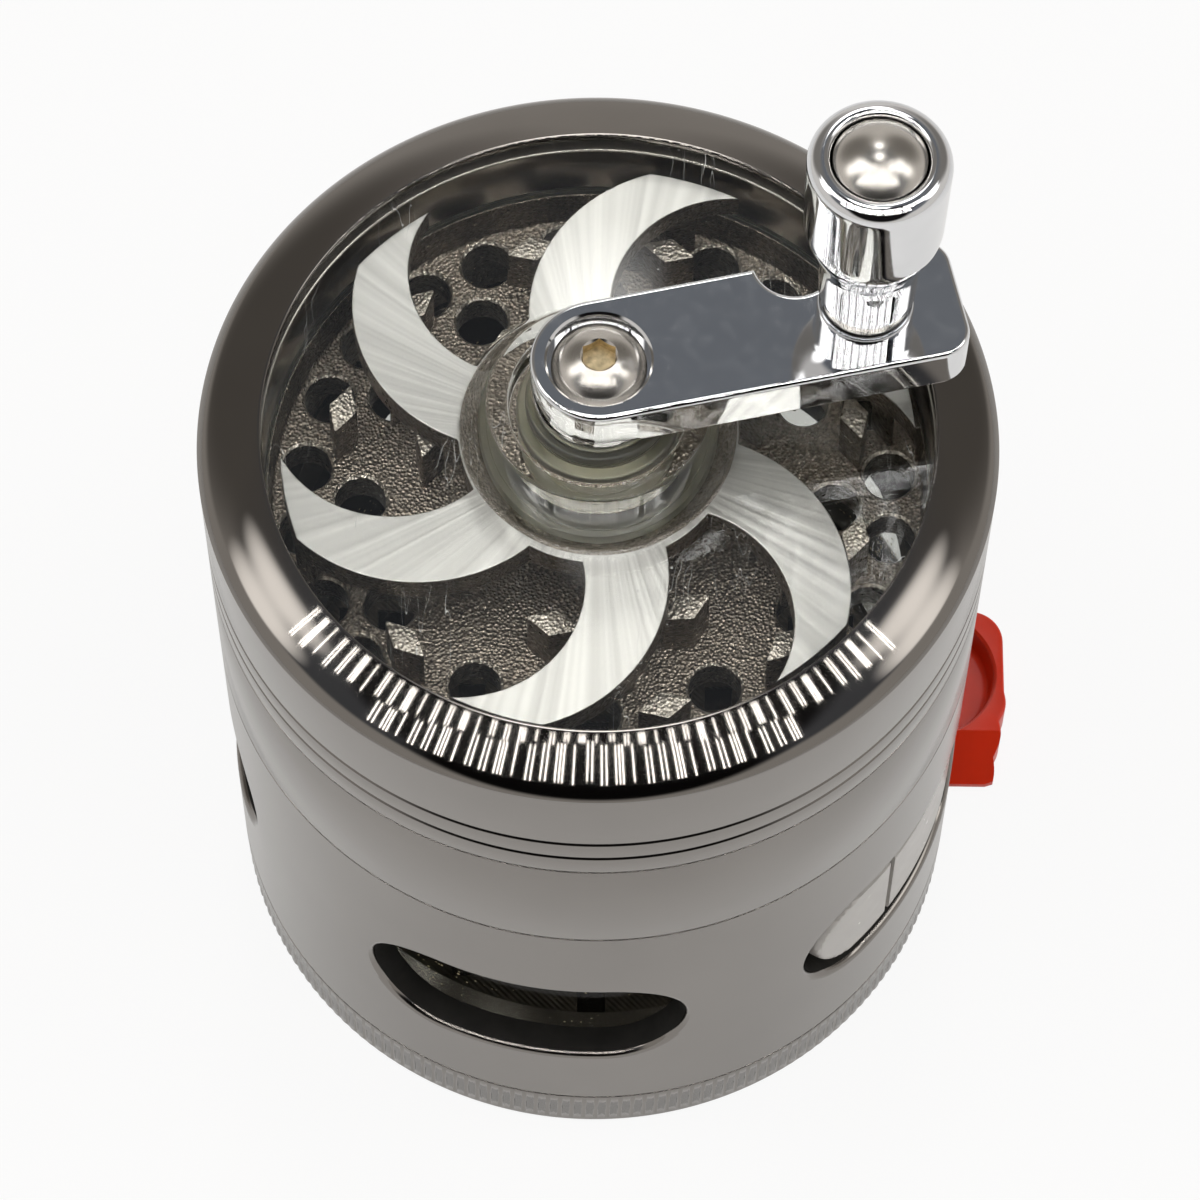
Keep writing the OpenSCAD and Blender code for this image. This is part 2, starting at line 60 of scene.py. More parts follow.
# Points and edges shorter than this are tidied away after a cut.
SLIVER = 0.001 * MM
# A quarter turn: highlights stretch across the marks, not along them.
ACROSS = 0.25
WHITE = (1.0, 1.0, 1.0, 1.0)


def linear(code):
    """Turn an sRGB hex colour into linear red, green and blue."""
    shares = [int(code[at:at + 2], 16) / 255 for at in (1, 3, 5)]
    return tuple(s / 12.92 if s <= 0.04045 else ((s + 0.055) / 1.055) ** 2.4 for s in shares)


def rgba(colour):
    """Add full opacity to a colour."""
    return (*colour, 1.0)


def low(node):
    """Lowest point of a node."""
    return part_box(node)[0].z


def high(node):
    """Highest point of a node."""
    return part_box(node)[1].z


def reach(node):
    """Half the width of a round node."""
    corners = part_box(node)
    return (corners[1].x - corners[0].x) / 2


def axis(node):
    """Middle of a node's box."""
    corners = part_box(node)
    return (corners[0] + corners[1]) / 2


def length(name, description, default, top):
    """A length, given in millimetres and kept in metres."""
    return FloatProperty(name=name, description=description, default=default * MM, min=0, max=top * MM,
                         precision=5, unit="LENGTH")


def colour(name, description, code):
    """A colour, given as an sRGB hex code."""
    return FloatVectorProperty(name=name, description=description, default=linear(code), min=0, max=1,
                               subtype="COLOR")


class HousingSettings(bpy.types.PropertyGroup):
    """Plated sections of the housing."""
    nickel: colour("Nickel", "Black nickel plate on the outside", "#85817d")
    blasted: colour("Blasted nickel", "Grit-blasted plate inside", "#8d857c")
    # Lighter plate: on the tooth tops partly wear and partly painted highlight, on the hole countersinks
    # painted highlight.
    rubbed_and_highlit: colour("Rubbed nickel", "Tops of the fixed teeth", "#cfc8bf")
    seam: length("Seam", "Gap between two sections", 0.2, 1)
    edge: length("Edge", "Rounding of the turned edges", 0.08, 1)
    knurl_ticks: IntProperty(name="Knurl ticks", description="Ticks round the base skirt", default=188,
                             min=60, max=240)
    knurl_depth: length("Knurl depth", "How deep the ticks are rolled in", 0.12, 1)
    knurl_margin: length("Knurl margin", "Plain band below the ticks", 0.6, 2)
    knurl_height: length("Knurl height", "Height of the band of ticks", 3, 5)
    spigot: length("Spigot radius", "Outside of the screwed spigots", 28.2, 40)
    spigot_bore: length("Spigot bore", "Inside of the screwed spigots", 25.8, 40)
    socket: length("Socket radius", "Bore that takes a spigot", 28.5, 40)


class WindowSettings(bpy.types.PropertyGroup):
    """Windows of the catch chamber and the sheet behind them."""
    slot_length: length("Slot length", "Length of a window along the wall", 28, 40)
    slot_height: length("Slot height", "Height of a window", 14, 20)
    slot_rise: length("Slot rise", "Height of the windows' middle", 22.5, 40)
    lip: length("Lip", "Rounding at a window's mouth", 0.5, 1)
    seam_gap: length("Sheet seam", "Gap where the rolled sheet meets", 0.6, 2)
    spring: length("Spring", "How far the sheet's free ends push out into their window", 2.5, 3)
    film: colour("Sheet", "Tint of the clear sheet", "#c4c5c1")
    powder: colour("Powder", "Dust that clings to the sheet", "#cdbf9c")


class GrindingSettings(bpy.types.PropertyGroup):
    """Holed plate and its teeth."""
    plate_rise: length("Plate top", "Height of the plate's top", 55.6, 80)
    plate_depth: length("Plate depth", "Thickness of the plate", 3, 6)
    hole: length("Hole", "Diameter of the drop holes", 4.2, 6)
    hole_ring: length("Outer hole ring", "Radius of the ring of hole pairs", 23.6, 40)
    inner_hole_ring: length("Inner hole ring", "Radius of the ring of single holes", 18.9, 40)
    tooth_ring: length("Outer tooth ring", "Radius of the outer ring of teeth", 21.1, 40)
    inner_tooth_ring: length("Inner tooth ring", "Radius of the inner ring of teeth", 13.7, 40)
    tooth_length: length("Tooth length", "Long axis of a diamond tooth", 4.6, 8)
    tooth_width: length("Tooth width", "Short axis of a diamond tooth", 2.4, 8)
    tooth_height: length("Tooth height", "Height of the fixed teeth", 5.2, 8)


class LidSettings(bpy.types.PropertyGroup):
    """Rim, clear plate and bearing of the lid."""
    rim_width: length("Rim width", "Width of the domed rim", 5.1, 10)
    rim_drop: length("Rim drop", "Fall of the rim to its outer edge", 2.35, 6)
    bore: length("Bore", "Bore that holds the clear plate", 28, 40)
    socket: length("Socket", "Bore that turns on the collar", 28.7, 40)
    groove_width: length("Groove width", "Width of a turned groove", 0.5, 2)
    groove_depth: length("Groove depth", "Depth of a turned groove", 0.35, 1)
    hub_foot: length("Hub foot", "Radius of the clear hub at its foot", 10.85, 15)
    hub_top: length("Hub top", "Radius of the clear hub at its top", 8.7, 15)
    hub_recess: length("Hub recess", "Radius of the recess in the hub", 7, 15)
    acrylic: colour("Acrylic", "Tint of the clear plate", "#f6f7f5")
    nylon: colour("Nylon", "Natural nylon of bush and spacer", "#eeeddc")


class RotorSettings(bpy.types.PropertyGroup):
    """Six-armed rotor under the clear plate."""
    aluminium: colour("Aluminium", "Turned face of the rotor", "#dcdbd9")
    arms: IntProperty(name="Arms", description="Crescent arms", default=6, min=3, max=9)
    phase: FloatProperty(name="Phase", description="Turn of the first tip from +X", subtype="ANGLE",
                         default=math.radians(67.3))
    hub: length("Hub", "Radius of the rotor's middle disc", 10.6, 20)
    back: length("Back radius", "Radius of an arm's convex side", 13.45, 30)
    front: length("Front radius", "Radius of an arm's hollow side", 9.9, 30)
    bore: length("Bore", "Bore on the shaft", 2.5, 5)
    plate: length("Plate", "Thickness of the rotor's plate", 2.6, 5)


class CrankSettings(bpy.types.PropertyGroup):
    """Crank arm, screw, knob and pin."""
    chrome: colour("Chrome", "Bright chrome of arm and knob", "#e3e4e6")
    steel: colour("Steel", "Stainless steel of screw and pin", "#cbc7c1")
    angle: FloatProperty(name="Angle", description="Turn of the crank at rest", subtype="ANGLE",
                         default=math.radians(13))
    throw: length("Throw", "From the shaft to the knob, along the arm", 21.3, 40)
    width: length("Width", "Width of the arm", 10.6, 20)
    offset: length("Offset", "From the arm's middle line back to the knob's axis", 1.3, 5)
    tail: length("Tail", "Arm beyond the knob's axis", 7.1, 20)
    corner: length("Corner", "Rounding of the arm's outer corners", 2.4, 5)
    bite: length("Bite", "Radius of the hollow beside the knob", 3.2, 6)
    edge: length("Edge", "Rounding of the arm's edges", 0.4, 1)
    neck: length("Neck", "Radius of the knob at its foot", 3.75, 10)
    barrel: length("Barrel", "Radius of the knob at its top", 5.45, 10)
    cup: length("Cup", "Radius of the recess in the knob", 3.65, 10)
    cup_depth: length("Cup depth", "Depth of the recess in the knob", 4.2, 10)


class ScraperSettings(bpy.types.PropertyGroup):
    """Loose scraper beside the housing."""
    red: colour("Red", "Moulded polypropylene", "#e0300c")
    tip: length("Tip", "Width of the scraping edge", 3.4, 10)
    corner: length("Corner", "Rounding of the far corner", 3, 4)
    grip: length("Grip", "Length of the ribbed grip", 7.9, 20)
    grip_root: length("Grip root", "Where the ribs start from the wall side", 3.55, 10)
    ribs: IntProperty(name="Ribs", description="Ribs on the grip", default=3, min=1, max=8)
    rib_height: length("Rib height", "How far a rib stands out", 0.35, 2)
    hollow: length("Hollow", "Radius of the thumb hollow", 6.1, 20)
    hollow_depth: length("Hollow depth", "Depth of the thumb hollow", 2.9, 4)
    wedge: length("Wedge", "Length of the sloped tip", 3.9, 10)
    wedge_drop: length("Wedge drop", "Fall of the sloped tip", 3.2, 4)
    edge: length("Edge", "Rounding of the moulded edges", 0.3, 1)


class StageSettings(bpy.types.PropertyGroup):
    """Floor, light and camera."""
    floor: colour("Floor", "White sweep under the part", "#f4f3f1")
    surround: colour("Surround", "Pale room round the sweep", "#d6d2cd")
    ceiling: colour("Ceiling", "Grey ceiling over the part", "#6b6e73")
    dusk: colour("Dusk", "Dim corners of the room behind the part", "#7c7873")
    opening: colour("Opening", "Dark opening above, where the camera stands", "#161515")
    glow: FloatVectorProperty(name="Glow", description="Radiance of the soft lamp on each side",
                              default=(2.8, 2.74, 2.65), min=0)
    key: FloatVectorProperty(name="Key", description="Radiance of the small lamps behind the zenith",
                             default=(9.0, 8.9, 8.7), min=0)
    strip_rise: length("Strip height", "Height of the light strips", 600, 2000)
    strip_power: FloatProperty(name="Strip strength", description="Radiance of one light bar", default=22,
                               min=0)
    lens: FloatProperty(name="Lens", description="Focal length on a 36 mm frame", default=150, min=20)
    elevation: FloatProperty(name="Elevation", description="How far down the camera looks", subtype="ANGLE",
                             default=math.radians(63.28))
    roll: FloatProperty(name="Roll", description="Lean of the camera", subtype="ANGLE",
                        default=math.radians(0.75))
    eye: FloatVectorProperty(name="Eye", description="Where the camera stands", subtype="TRANSLATION",
                             default=(0.31 * MM, -187.93 * MM, 412.64 * MM))


SETTINGS = {
    "grinder_housing": HousingSettings,
    "grinder_window": WindowSettings,
    "grinder_plate": GrindingSettings,
    "grinder_lid": LidSettings,
    "grinder_rotor": RotorSettings,
    "grinder_crank": CrankSettings,
    "grinder_scraper": ScraperSettings,
    "grinder_stage": StageSettings,
}


def add(tree, kind, inputs=None, **settings):
    """Add a shader node, set it, and link or fill its inputs."""
    node = tree.nodes.new("ShaderNode" + kind)
    for name, value in settings.items():
        setattr(node, name, value)
    for socket, value in (inputs or {}).items():
        if isinstance(value, bpy.types.NodeSocket):
            tree.links.new(value, node.inputs[socket])
        else:
            node.inputs[socket].default_value = value
    return node


def bare_material(name):
    """A new material with nothing in its node tree."""
    material = bpy.data.materials.new(name)
    material.use_nodes = True
    material.node_tree.nodes.clear()
    return material


class Finish:
    """A material on one principled shader, whose constants are set on its own sockets."""

    def __init__(self, name, **sockets):
        self.material = bare_material(name)
        constants = {socket.replace("_", " "): value for socket, value in sockets.items()}
        self.shader = self.add("BsdfPrincipled", constants)
        self.output = self.add("OutputMaterial", {"Surface": self.shader.outputs["BSDF"]})
        self.where = self.add("TexCoord").outputs["Object"]

    def add(self, kind, inputs=None, **settings):
        """Add a node to this material."""
        return add(self.material.node_tree, kind, inputs, **settings)

    def feed(self, socket, output, node=None):
        """Link an output to a socket of the shader, or of another node."""
        target = self.shader if node is None else node
        self.material.node_tree.links.new(output, target.inputs[socket])

    def noise(self, size, detail, where=None):
        """Noise with patches of one size."""
        spot = self.where if where is None else where
        return self.add("TexNoise", {"Vector": spot, "Scale": 1 / size, "Detail": detail}).outputs["Fac"]

    def cells(self, size):
        """Grains of one size, each with its own colour, and the distance from their middles."""
        return self.add("TexVoronoi", {"Vector": self.where, "Scale": 1 / size}).outputs

    def ranged(self, value, least, most, first=0.0, last=1.0):
        """Turn a value that runs from first to last into one that runs from least to most."""
        return self.add("MapRange", {"Value": value, "From Min": first, "From Max": last,
                                     "To Min": least, "To Max": most}).outputs["Result"]

    def reckon(self, operation, first, second=0.0):
        """One step of arithmetic."""
        return self.add("Math", {0: first, 1: second}, operation=operation).outputs["Value"]

    def shade(self, tint, amount):
        """Let the base colour be a tint times an amount."""
        scaled = self.add("VectorMath", {0: tint, "Scale": amount}, operation="SCALE")
        self.feed("Base Color", scaled.outputs["Vector"])

    def mottle(self, tint, drift, size):
        """Let the base colour drift a little over patches of one size."""
        patches = self.noise(size, detail=3.0)
        self.shade(tint, self.ranged(patches, 1 - drift, 1 + drift, first=0.3, last=0.7))

    def gloss(self, value, smooth, rough, first=0.0, last=1.0):
        """Let the roughness follow a value."""
        self.feed("Roughness", self.ranged(value, smooth, rough, first, last))

    def bump(self, height, strength, depth, under=None):
        """Raise the surface by a height, over another bump if there is one."""
        inputs = {"Height": height, "Strength": strength, "Distance": depth}
        if under is not None:
            inputs["Normal"] = under
        normal = self.add("Bump", inputs).outputs["Normal"]
        self.feed("Normal", normal)
        return normal

    def turning_marks(self, pitch):
        """Fine rings round Z: noise that changes with radius and height, and never round the axis."""
        parts = self.add("SeparateXYZ", {"Vector": self.where}).outputs
        flat = self.add("CombineXYZ", {"X": parts["X"], "Y": parts["Y"]})
        radius = self.add("VectorMath", {0: flat.outputs["Vector"]}, operation="LENGTH")
        profile = self.add("CombineXYZ", {"X": radius.outputs["Value"], "Y": parts["Z"]})
        return self.noise(pitch, 2.0, profile.outputs["Vector"])

    def brush_round(self):
        """Measure the stretch of highlights from the direction round Z."""
        tangent = self.add("Tangent", direction_type="RADIAL", axis="Z")
        self.feed("Tangent", tangent.outputs["Tangent"])

    def let_lamps_through(self):
        """Give clear stock a shadow that is clear too, so that lamps reach what lies behind it."""
        rays = self.add("LightPath").outputs
        clear = self.add("BsdfTransparent", {"Color": (0.94, 0.94, 0.93, 1.0)})
        both = self.add("MixShader", {0: rays["Is Shadow Ray"], 1: self.shader.outputs["BSDF"],
                                      2: clear.outputs["BSDF"]})
        self.feed("Surface", both.outputs["Shader"], self.output)


def nickel_plate(name, smooth, rough, stretch):
    """Black nickel over lathe-turned aluminium: a smoky mirror, softened across the tool marks."""
    finish = Finish(name, Metallic=1.0, Anisotropic=stretch, Anisotropic_Rotation=ACROSS)
    finish.mottle(bpy.context.scene.grinder_housing.nickel, 0.03, 9 * MM)
    finish.brush_round()
    # Tool marks are about 0.05 mm apart; they are drawn at 0.2 mm so that they show.
    finish.gloss(finish.turning_marks(0.2 * MM), smooth, rough)
    return finish.material


def black_nickel():
    """Outside walls: satin enough to hold an even grey."""
    return nickel_plate("turned black nickel plate", smooth=0.14, rough=0.18, stretch=0.5)


def polished_nickel():
    """The rim, polished after turning: near black where it faces the dark, with crisp light streaks."""
    return nickel_plate("polished black nickel plate", smooth=0.045, rough=0.06, stretch=1.0)


def blasted_plate(name, tint):
    """Grit-blasted nickel: a dull field broken by glints from single grains."""
    finish = Finish(name, Metallic=1.0)
    # Blasting grit is about 0.1 mm; it is drawn at 0.28 mm so that single glints show.
    grit = finish.cells(0.28 * MM)
    finish.shade(tint, finish.ranged(grit["Color"], least=0.55, most=1.45))
    finish.gloss(grit["Color"], smooth=0.5, rough=0.24)
    finish.bump(grit["Distance"], strength=0.8, depth=0.15 * MM)
    return finish.material


def blasted_nickel():
    """Inside of the grinding section: dark grey and sparkling."""
    return blasted_plate("grit-blasted nickel plate", bpy.context.scene.grinder_housing.blasted)


def worn_and_highlit_nickel():
    """Tops of the fixed teeth, lighter partly from rubbing wear and partly as painted highlight, and the
    holes' countersinks, lighter as painted highlight.
    """
    return blasted_plate("rubbed nickel plate", bpy.context.scene.grinder_housing.rubbed_and_highlit)


def turned_aluminium():
    """Face-turned bare aluminium: pale satin whose highlights fan out from the middle."""
    finish = Finish("face-turned aluminium", Metallic=1.0, Anisotropic=0.55, Anisotropic_Rotation=ACROSS)
    finish.brush_round()
    # Facing marks are about 0.1 mm apart; they are drawn at 0.3 mm so that they show.
    marks = finish.turning_marks(0.3 * MM)
    finish.gloss(marks, smooth=0.36, rough=0.46)
    # Chatter of the tool leaves rays about 2 degrees apart: noise on the direction alone.
    flat = finish.add("VectorMath", {0: finish.where, 1: (1.0, 1.0, 0.0)}, operation="MULTIPLY")
    ray = finish.add("VectorMath", {0: flat.outputs["Vector"]}, operation="NORMALIZE")
    chatter = finish.noise(math.radians(2), 1.0, ray.outputs["Vector"])
    sheen = finish.ranged(chatter, least=0.84, most=1.08, first=0.3, last=0.7)
    finish.shade(bpy.context.scene.grinder_rotor.aluminium, sheen)
    rays = finish.bump(chatter, strength=0.5, depth=0.08 * MM)
    finish.bump(marks, strength=0.12, depth=0.03 * MM, under=rays)
    return finish.material


def bright_chrome():
    """Bright chrome on cast zinc: a clean mirror with faint ripples and soft scuffs."""
    finish = Finish("bright chrome plate", Metallic=1.0)
    finish.mottle(bpy.context.scene.grinder_crank.chrome, 0.02, 4 * MM)
    scuffs = finish.noise(1.2 * MM, detail=6.0)
    finish.gloss(scuffs, smooth=0.04, rough=0.11, first=0.45, last=0.8)
    finish.bump(finish.noise(3 * MM, detail=1.0), strength=0.03, depth=0.1 * MM)
    return finish.material


def stainless_steel():
    """Tumbled stainless steel: warm grey, softly mirrored, with a fine grain."""
    finish = Finish("tumbled stainless steel", Metallic=1.0)
    finish.mottle(bpy.context.scene.grinder_crank.steel, 0.03, 1.5 * MM)
    grain = finish.noise(0.12 * MM, detail=3.0)
    finish.gloss(grain, smooth=0.2, rough=0.26)
    finish.bump(grain, strength=0.04, depth=0.03 * MM)
    return finish.material


def oiled_steel():
    """Inside of the hex socket: steel under a film of old oil, brown and dull."""
    finish = Finish("oil-stained steel", Metallic=1.0)
    finish.mottle(linear("#bfae8c"), 0.3, 0.6 * MM)
    finish.gloss(finish.noise(0.4 * MM, detail=2.0), smooth=0.35, rough=0.5)
    return finish.material


def clear_acrylic():
    """Cast acrylic, turned and polished: water-clear with soft scuffs, white specks and a few hairlines."""
    tint = rgba(bpy.context.scene.grinder_lid.acrylic)
    finish = Finish("polished cast acrylic", Base_Color=tint, IOR=1.49)
    # Nicks are about 0.05 mm; they are drawn up to 0.25 mm across, one in 2.5 mm, so that they show.
    cells = finish.cells(2.5 * MM)
    patches = finish.noise(9 * MM, detail=1.0)
    widest = finish.ranged(patches, least=0.0, most=0.055, first=0.42, last=0.7)
    nicks = finish.reckon("LESS_THAN", cells["Distance"], widest)
    # Hairlines run where a long, stretched noise passes its middle.
    drawn = finish.add("Mapping", {"Vector": finish.where, "Rotation": (0.0, 0.0, math.radians(35)),
                                   "Scale": (1 / (2 * MM), 1 / (14 * MM), 1 / (14 * MM))})
    swirl = finish.noise(1.0, 2.0, drawn.outputs["Vector"])
    off = finish.reckon("ABSOLUTE", finish.reckon("SUBTRACT", swirl, 0.5))
    faint = finish.ranged(patches, least=0.0, most=0.003, first=0.55, last=0.75)
    marks = finish.reckon("MAXIMUM", nicks, finish.reckon("LESS_THAN", off, faint))
    finish.feed("Transmission Weight", finish.ranged(marks, least=1.0, most=0.5))
    finish.gloss(finish.noise(1.5 * MM, detail=8.0), smooth=0.0, rough=0.03, first=0.55, last=0.85)
    finish.let_lamps_through()
    return finish.material


def shade_black():
    """Painted shade: dull black inside the catch chamber and under the clear hub, so that the windows look
    dark.
    """
    finish = Finish("black painted shade", Metallic=0.0, Specular_IOR_Level=0.2)
    finish.mottle(linear("#1d1c1a"), 0.25, 2 * MM)
    finish.gloss(finish.noise(0.6 * MM, detail=3.0), smooth=0.4, rough=0.6)
    return finish.material


def whitish_sheet():
    """Free ends of the sheet, where they press out into their window: whitish and soft."""
    finish = Finish("whitish polyester sheet", IOR=1.57, Transmission_Weight=0.35)
    finish.mottle(linear("#d6d3d0"), 0.03, 3 * MM)
    finish.gloss(finish.noise(1 * MM, detail=3.0), smooth=0.2, rough=0.3)
    finish.let_lamps_through()
    return finish.material


def clear_sheet():
    """Rolled anti-glare sheet: clear, hardly mirroring, with pale dust clinging to its inside."""
    look = bpy.context.scene.grinder_window
    finish = Finish("rolled anti-glare sheet", IOR=1.08)
    # Ground spice is about 0.1 mm; specks are drawn up to 0.36 mm across, one in 0.9 mm, so that they show.
    specks = finish.cells(0.9 * MM)
    drifts = finish.noise(7 * MM, detail=2.0)
    amount = finish.ranged(drifts, least=0.03, most=0.2, first=0.4, last=0.75)
    dust = finish.reckon("LESS_THAN", specks["Distance"], amount)
    tint = finish.add("Mix", {"Factor": dust, "A": rgba(look.film), "B": rgba(look.powder)}, data_type="RGBA")
    finish.feed("Base Color", tint.outputs["Result"])
    finish.feed("Transmission Weight", finish.ranged(dust, least=1.0, most=0.1))
    finish.gloss(drifts, smooth=0.02, rough=0.1)
    finish.let_lamps_through()
    return finish.material


def natural_nylon():
    """Turned natural nylon: milky yellow that lets some light into its edges."""
    finish = Finish("natural nylon", IOR=1.53, Transmission_Weight=0.95, Subsurface_Weight=0.1,
                    Subsurface_Radius=(1.0, 0.9, 0.6), Subsurface_Scale=0.8 * MM)
    finish.mottle(bpy.context.scene.grinder_lid.nylon, 0.05, 2 * MM)
    # Tool marks are about 0.05 mm apart; they are drawn at 0.2 mm so that they show.
    marks = finish.turning_marks(0.2 * MM)
    finish.gloss(marks, smooth=0.2, rough=0.4)
    finish.bump(marks, strength=0.2, depth=0.03 * MM)
    return finish.material


def screen_wire():
    """Woven stainless screen: bars crossed by finer wires, painted dark as shade inside the closed chamber.
    """
    finish = Finish("woven steel screen", Metallic=1.0)
    # Dark grey-brown: painted shade of the closed chamber.
    finish.mottle(linear("#5d574e"), 0.2, 1 * MM)
    # Screen wire is about 0.1 mm; the weave is drawn at 0.4 mm so that it shows.
    # A diagonal wave turns by 10 radians for each unit of X and of Y.
    scale = math.tau / (10 * math.sqrt(2) * 0.4 * MM)
    weave = finish.add("TexWave", {"Vector": finish.where, "Scale": scale}, bands_direction="DIAGONAL")
    weave = weave.outputs["Fac"]
    finish.gloss(weave, smooth=0.3, rough=0.45)
    finish.bump(weave, strength=0.4, depth=0.1 * MM)
    return finish.material


def red_polypropylene():
    """Moulded polypropylene: saturated orange-red, glossy, with the fine grain of a spark-eroded mould."""
    finish = Finish("moulded red polypropylene", IOR=1.49, Subsurface_Weight=0.12,
                    Subsurface_Radius=(1.0, 0.2, 0.1), Subsurface_Scale=0.6 * MM)
    finish.mottle(bpy.context.scene.grinder_scraper.red, 0.06, 3 * MM)
    grain = finish.noise(0.35 * MM, detail=3.0)
    finish.gloss(grain, smooth=0.24, rough=0.42)
    finish.bump(grain, strength=0.2, depth=0.05 * MM)
    return finish.material


FINISHES = {
    "housing": black_nickel,
    "polished_rim": polished_nickel,
    "blasted_nickel": blasted_nickel,
    "clear_acrylic": clear_acrylic,
    "clear_film": clear_sheet,
    "whitish_film": whitish_sheet,
    "chamber": shade_black,
    "screen_wire": screen_wire,
    "plain_steel": stainless_steel,
    "nylon": natural_nylon,
    "satin_rotor": turned_aluminium,
    "bright_chrome": bright_chrome,
    "screw_steel": stainless_steel,
    "screw_socket": oiled_steel,
    "worn_and_highlit_teeth": worn_and_highlit_nickel,
    "red_plastic": red_polypropylene,
}
made_finishes = {}


def finish_for(slot):
    """The finish of one of the record's slots, made once."""
    maker = FINISHES[slot]
    if maker not in made_finishes:
        made_finishes[maker] = maker()
    return made_finishes[maker]


def soften(corners, steps=4):
    """Round each corner of a closed outline by the radius that stands third in it."""
    soft = []
    for index, (x, y, radius) in enumerate(corners):
        corner = Vector((x, y))
        if radius == 0:
            soft.append(corner)
            continue
        back = (Vector(corners[index - 1][:2]) - corner).normalized()
        ahead = (Vector(corners[(index + 1) % len(corners)][:2]) - corner).normalized()
        half = back.angle(ahead) / 2
        centre = corner + (back + ahead).normalized() * (radius / math.sin(half))
        first = (corner + back * (radius / math.tan(half)) - centre).normalized()
        last = (corner + ahead * (radius / math.tan(half)) - centre).normalized()
        soft += [centre + radius * first.slerp(last, step / steps) for step in range(steps + 1)]
    return soft


def arc(centre, radius, first, last, steps):
    """Points on a circle from one angle to another."""
    turns = [first + (last - first) * step / steps for step in range(steps + 1)]
    return [centre + radius * Vector((math.cos(turn), math.sin(turn))) for turn in turns]


def arc_between(centre, radius, start, end, steps):
    """The shorter arc of a circle between two points on it."""
    first = math.atan2(start.y - centre.y, start.x - centre.x)
    last = math.atan2(end.y - centre.y, end.x - centre.x)
    turn = (last - first + math.pi) % math.tau - math.pi
    return arc(centre, radius, first, first + turn, steps)


def dome(radius, crown, rise, steps):
    """Corners of a round head, from inside its edge up to its crown."""
    sphere = (radius ** 2 + rise ** 2) / (2 * rise)
    outs = [radius * (1 - step / steps) for step in range(1, steps + 1)]
    return [(out, crown - sphere + math.sqrt(sphere ** 2 - out ** 2), 0) for out in outs]


def eased(share):
    """A share kept between none and all, with a soft start and a soft stop."""
    part = min(1, max(0, share))
    return part * part * (3 - 2 * part)


def away(spot):
    """How far a point lies from the common axis."""
    return math.hypot(spot.x, spot.y)


def turned(profile, segments=384, first=0.0, sweep=math.tau, ripple=None):
    """Spin a closed profile of radius and height round Z, the whole way or over one sweep."""
    mesh = bmesh.new()
    whole = sweep > math.tau - 1e-6
    rings = []
    for step in range(segments if whole else segments + 1):
        turn = first + sweep * step / segments
        ring = []
        for radius, height in profile:
            out = radius + (ripple(turn, radius, height) if ripple else 0)
            ring.append(mesh.verts.new((out * math.cos(turn), out * math.sin(turn), height)))
        rings.append(ring)
    pairs = list(zip(rings, rings[1:]))
    if whole:
        pairs.append((rings[-1], rings[0]))
    else:
        mesh.faces.new(rings[0])
        mesh.faces.new(reversed(rings[-1]))
    for here, there in pairs:
        for index in range(len(profile)):
            mesh.faces.new((here[index - 1], there[index - 1], there[index], here[index]))
    bmesh.ops.remove_doubles(mesh, verts=mesh.verts, dist=1e-7)
    spare = [line for line in mesh.edges if not line.link_faces]
    bmesh.ops.delete(mesh, geom=spare, context="EDGES")
    bmesh.ops.recalc_face_normals(mesh, faces=mesh.faces)
    return mesh


def bored(*corners, segments):
    """A turned cutter with sharp corners."""
    return turned([Vector(corner) for corner in corners], segments)


def plate(outline, bottom, top, edge=0.0, steps=3):
    """Raise a flat outline, drawn anticlockwise, into a plate with rounded edges."""
    inward = []
    for index, point in enumerate(outline):
        back = (point - outline[index - 1]).normalized().orthogonal()
        ahead = (outline[(index + 1) % len(outline)] - point).normalized().orthogonal()
        inward.append((back + ahead) / (1 + back.dot(ahead)))
    rows = [(0, bottom), (0, top)]
    if edge:
        turns = [math.pi / 2 * step / steps for step in range(steps + 1)]
        rows = [(edge * (1 - math.sin(turn)), bottom + edge * (1 - math.cos(turn))) for turn in turns]
        rows += [(edge * (1 - math.cos(turn)), top - edge * (1 - math.sin(turn))) for turn in turns]
    mesh = bmesh.new()
    rings = []
    for inset, height in rows:
        spots = [point + way * inset for point, way in zip(outline, inward)]
        rings.append([mesh.verts.new((*spot, height)) for spot in spots])
    for here, there in zip(rings, rings[1:]):
        for index in range(len(outline)):
            mesh.faces.new((here[index - 1], here[index], there[index], there[index - 1]))
    mesh.faces.new(list(reversed(rings[0])))
    mesh.faces.new(rings[-1])
    bmesh.ops.recalc_face_normals(mesh, faces=mesh.faces)
    return mesh


def tooth(width, length, bottom, top):
    """A grinding tooth: a diamond seen from above, with soft corners and edges."""
    side = 0.25 * MM
    point = 0.15 * MM
    edge = 0.12 * MM
    outline = soften([(-width / 2, 0, side), (0, -length / 2, point), (width / 2, 0, side),
                      (0, length / 2, point)], 2)
    return plate(outline, bottom, top, edge, 2)


def placed(mesh, ring, turn):
    """Move a mesh out to a ring and turn it round the axis."""
    place = Matrix.Rotation(turn, 4, "Z") @ Matrix.Translation((ring, 0, 0))
    bmesh.ops.transform(mesh, matrix=place, verts=mesh.verts)
    return mesh


def settled(name, mesh):
    """Turn a working mesh into mesh data."""
    data = bpy.data.meshes.new(name)
    mesh.to_mesh(data)
    mesh.free()
    return data


def put(name, data):
    """Put data into the scene as an object."""
    made = bpy.data.objects.new(name, data)
    bpy.context.scene.collection.objects.link(made)
    return made


def merged(meshes):
    """Put several loose meshes into one."""
    whole = bmesh.new()
    for mesh in meshes:
        part = settled("part", mesh)
        whole.from_mesh(part)
        bpy.data.meshes.remove(part)
    return whole


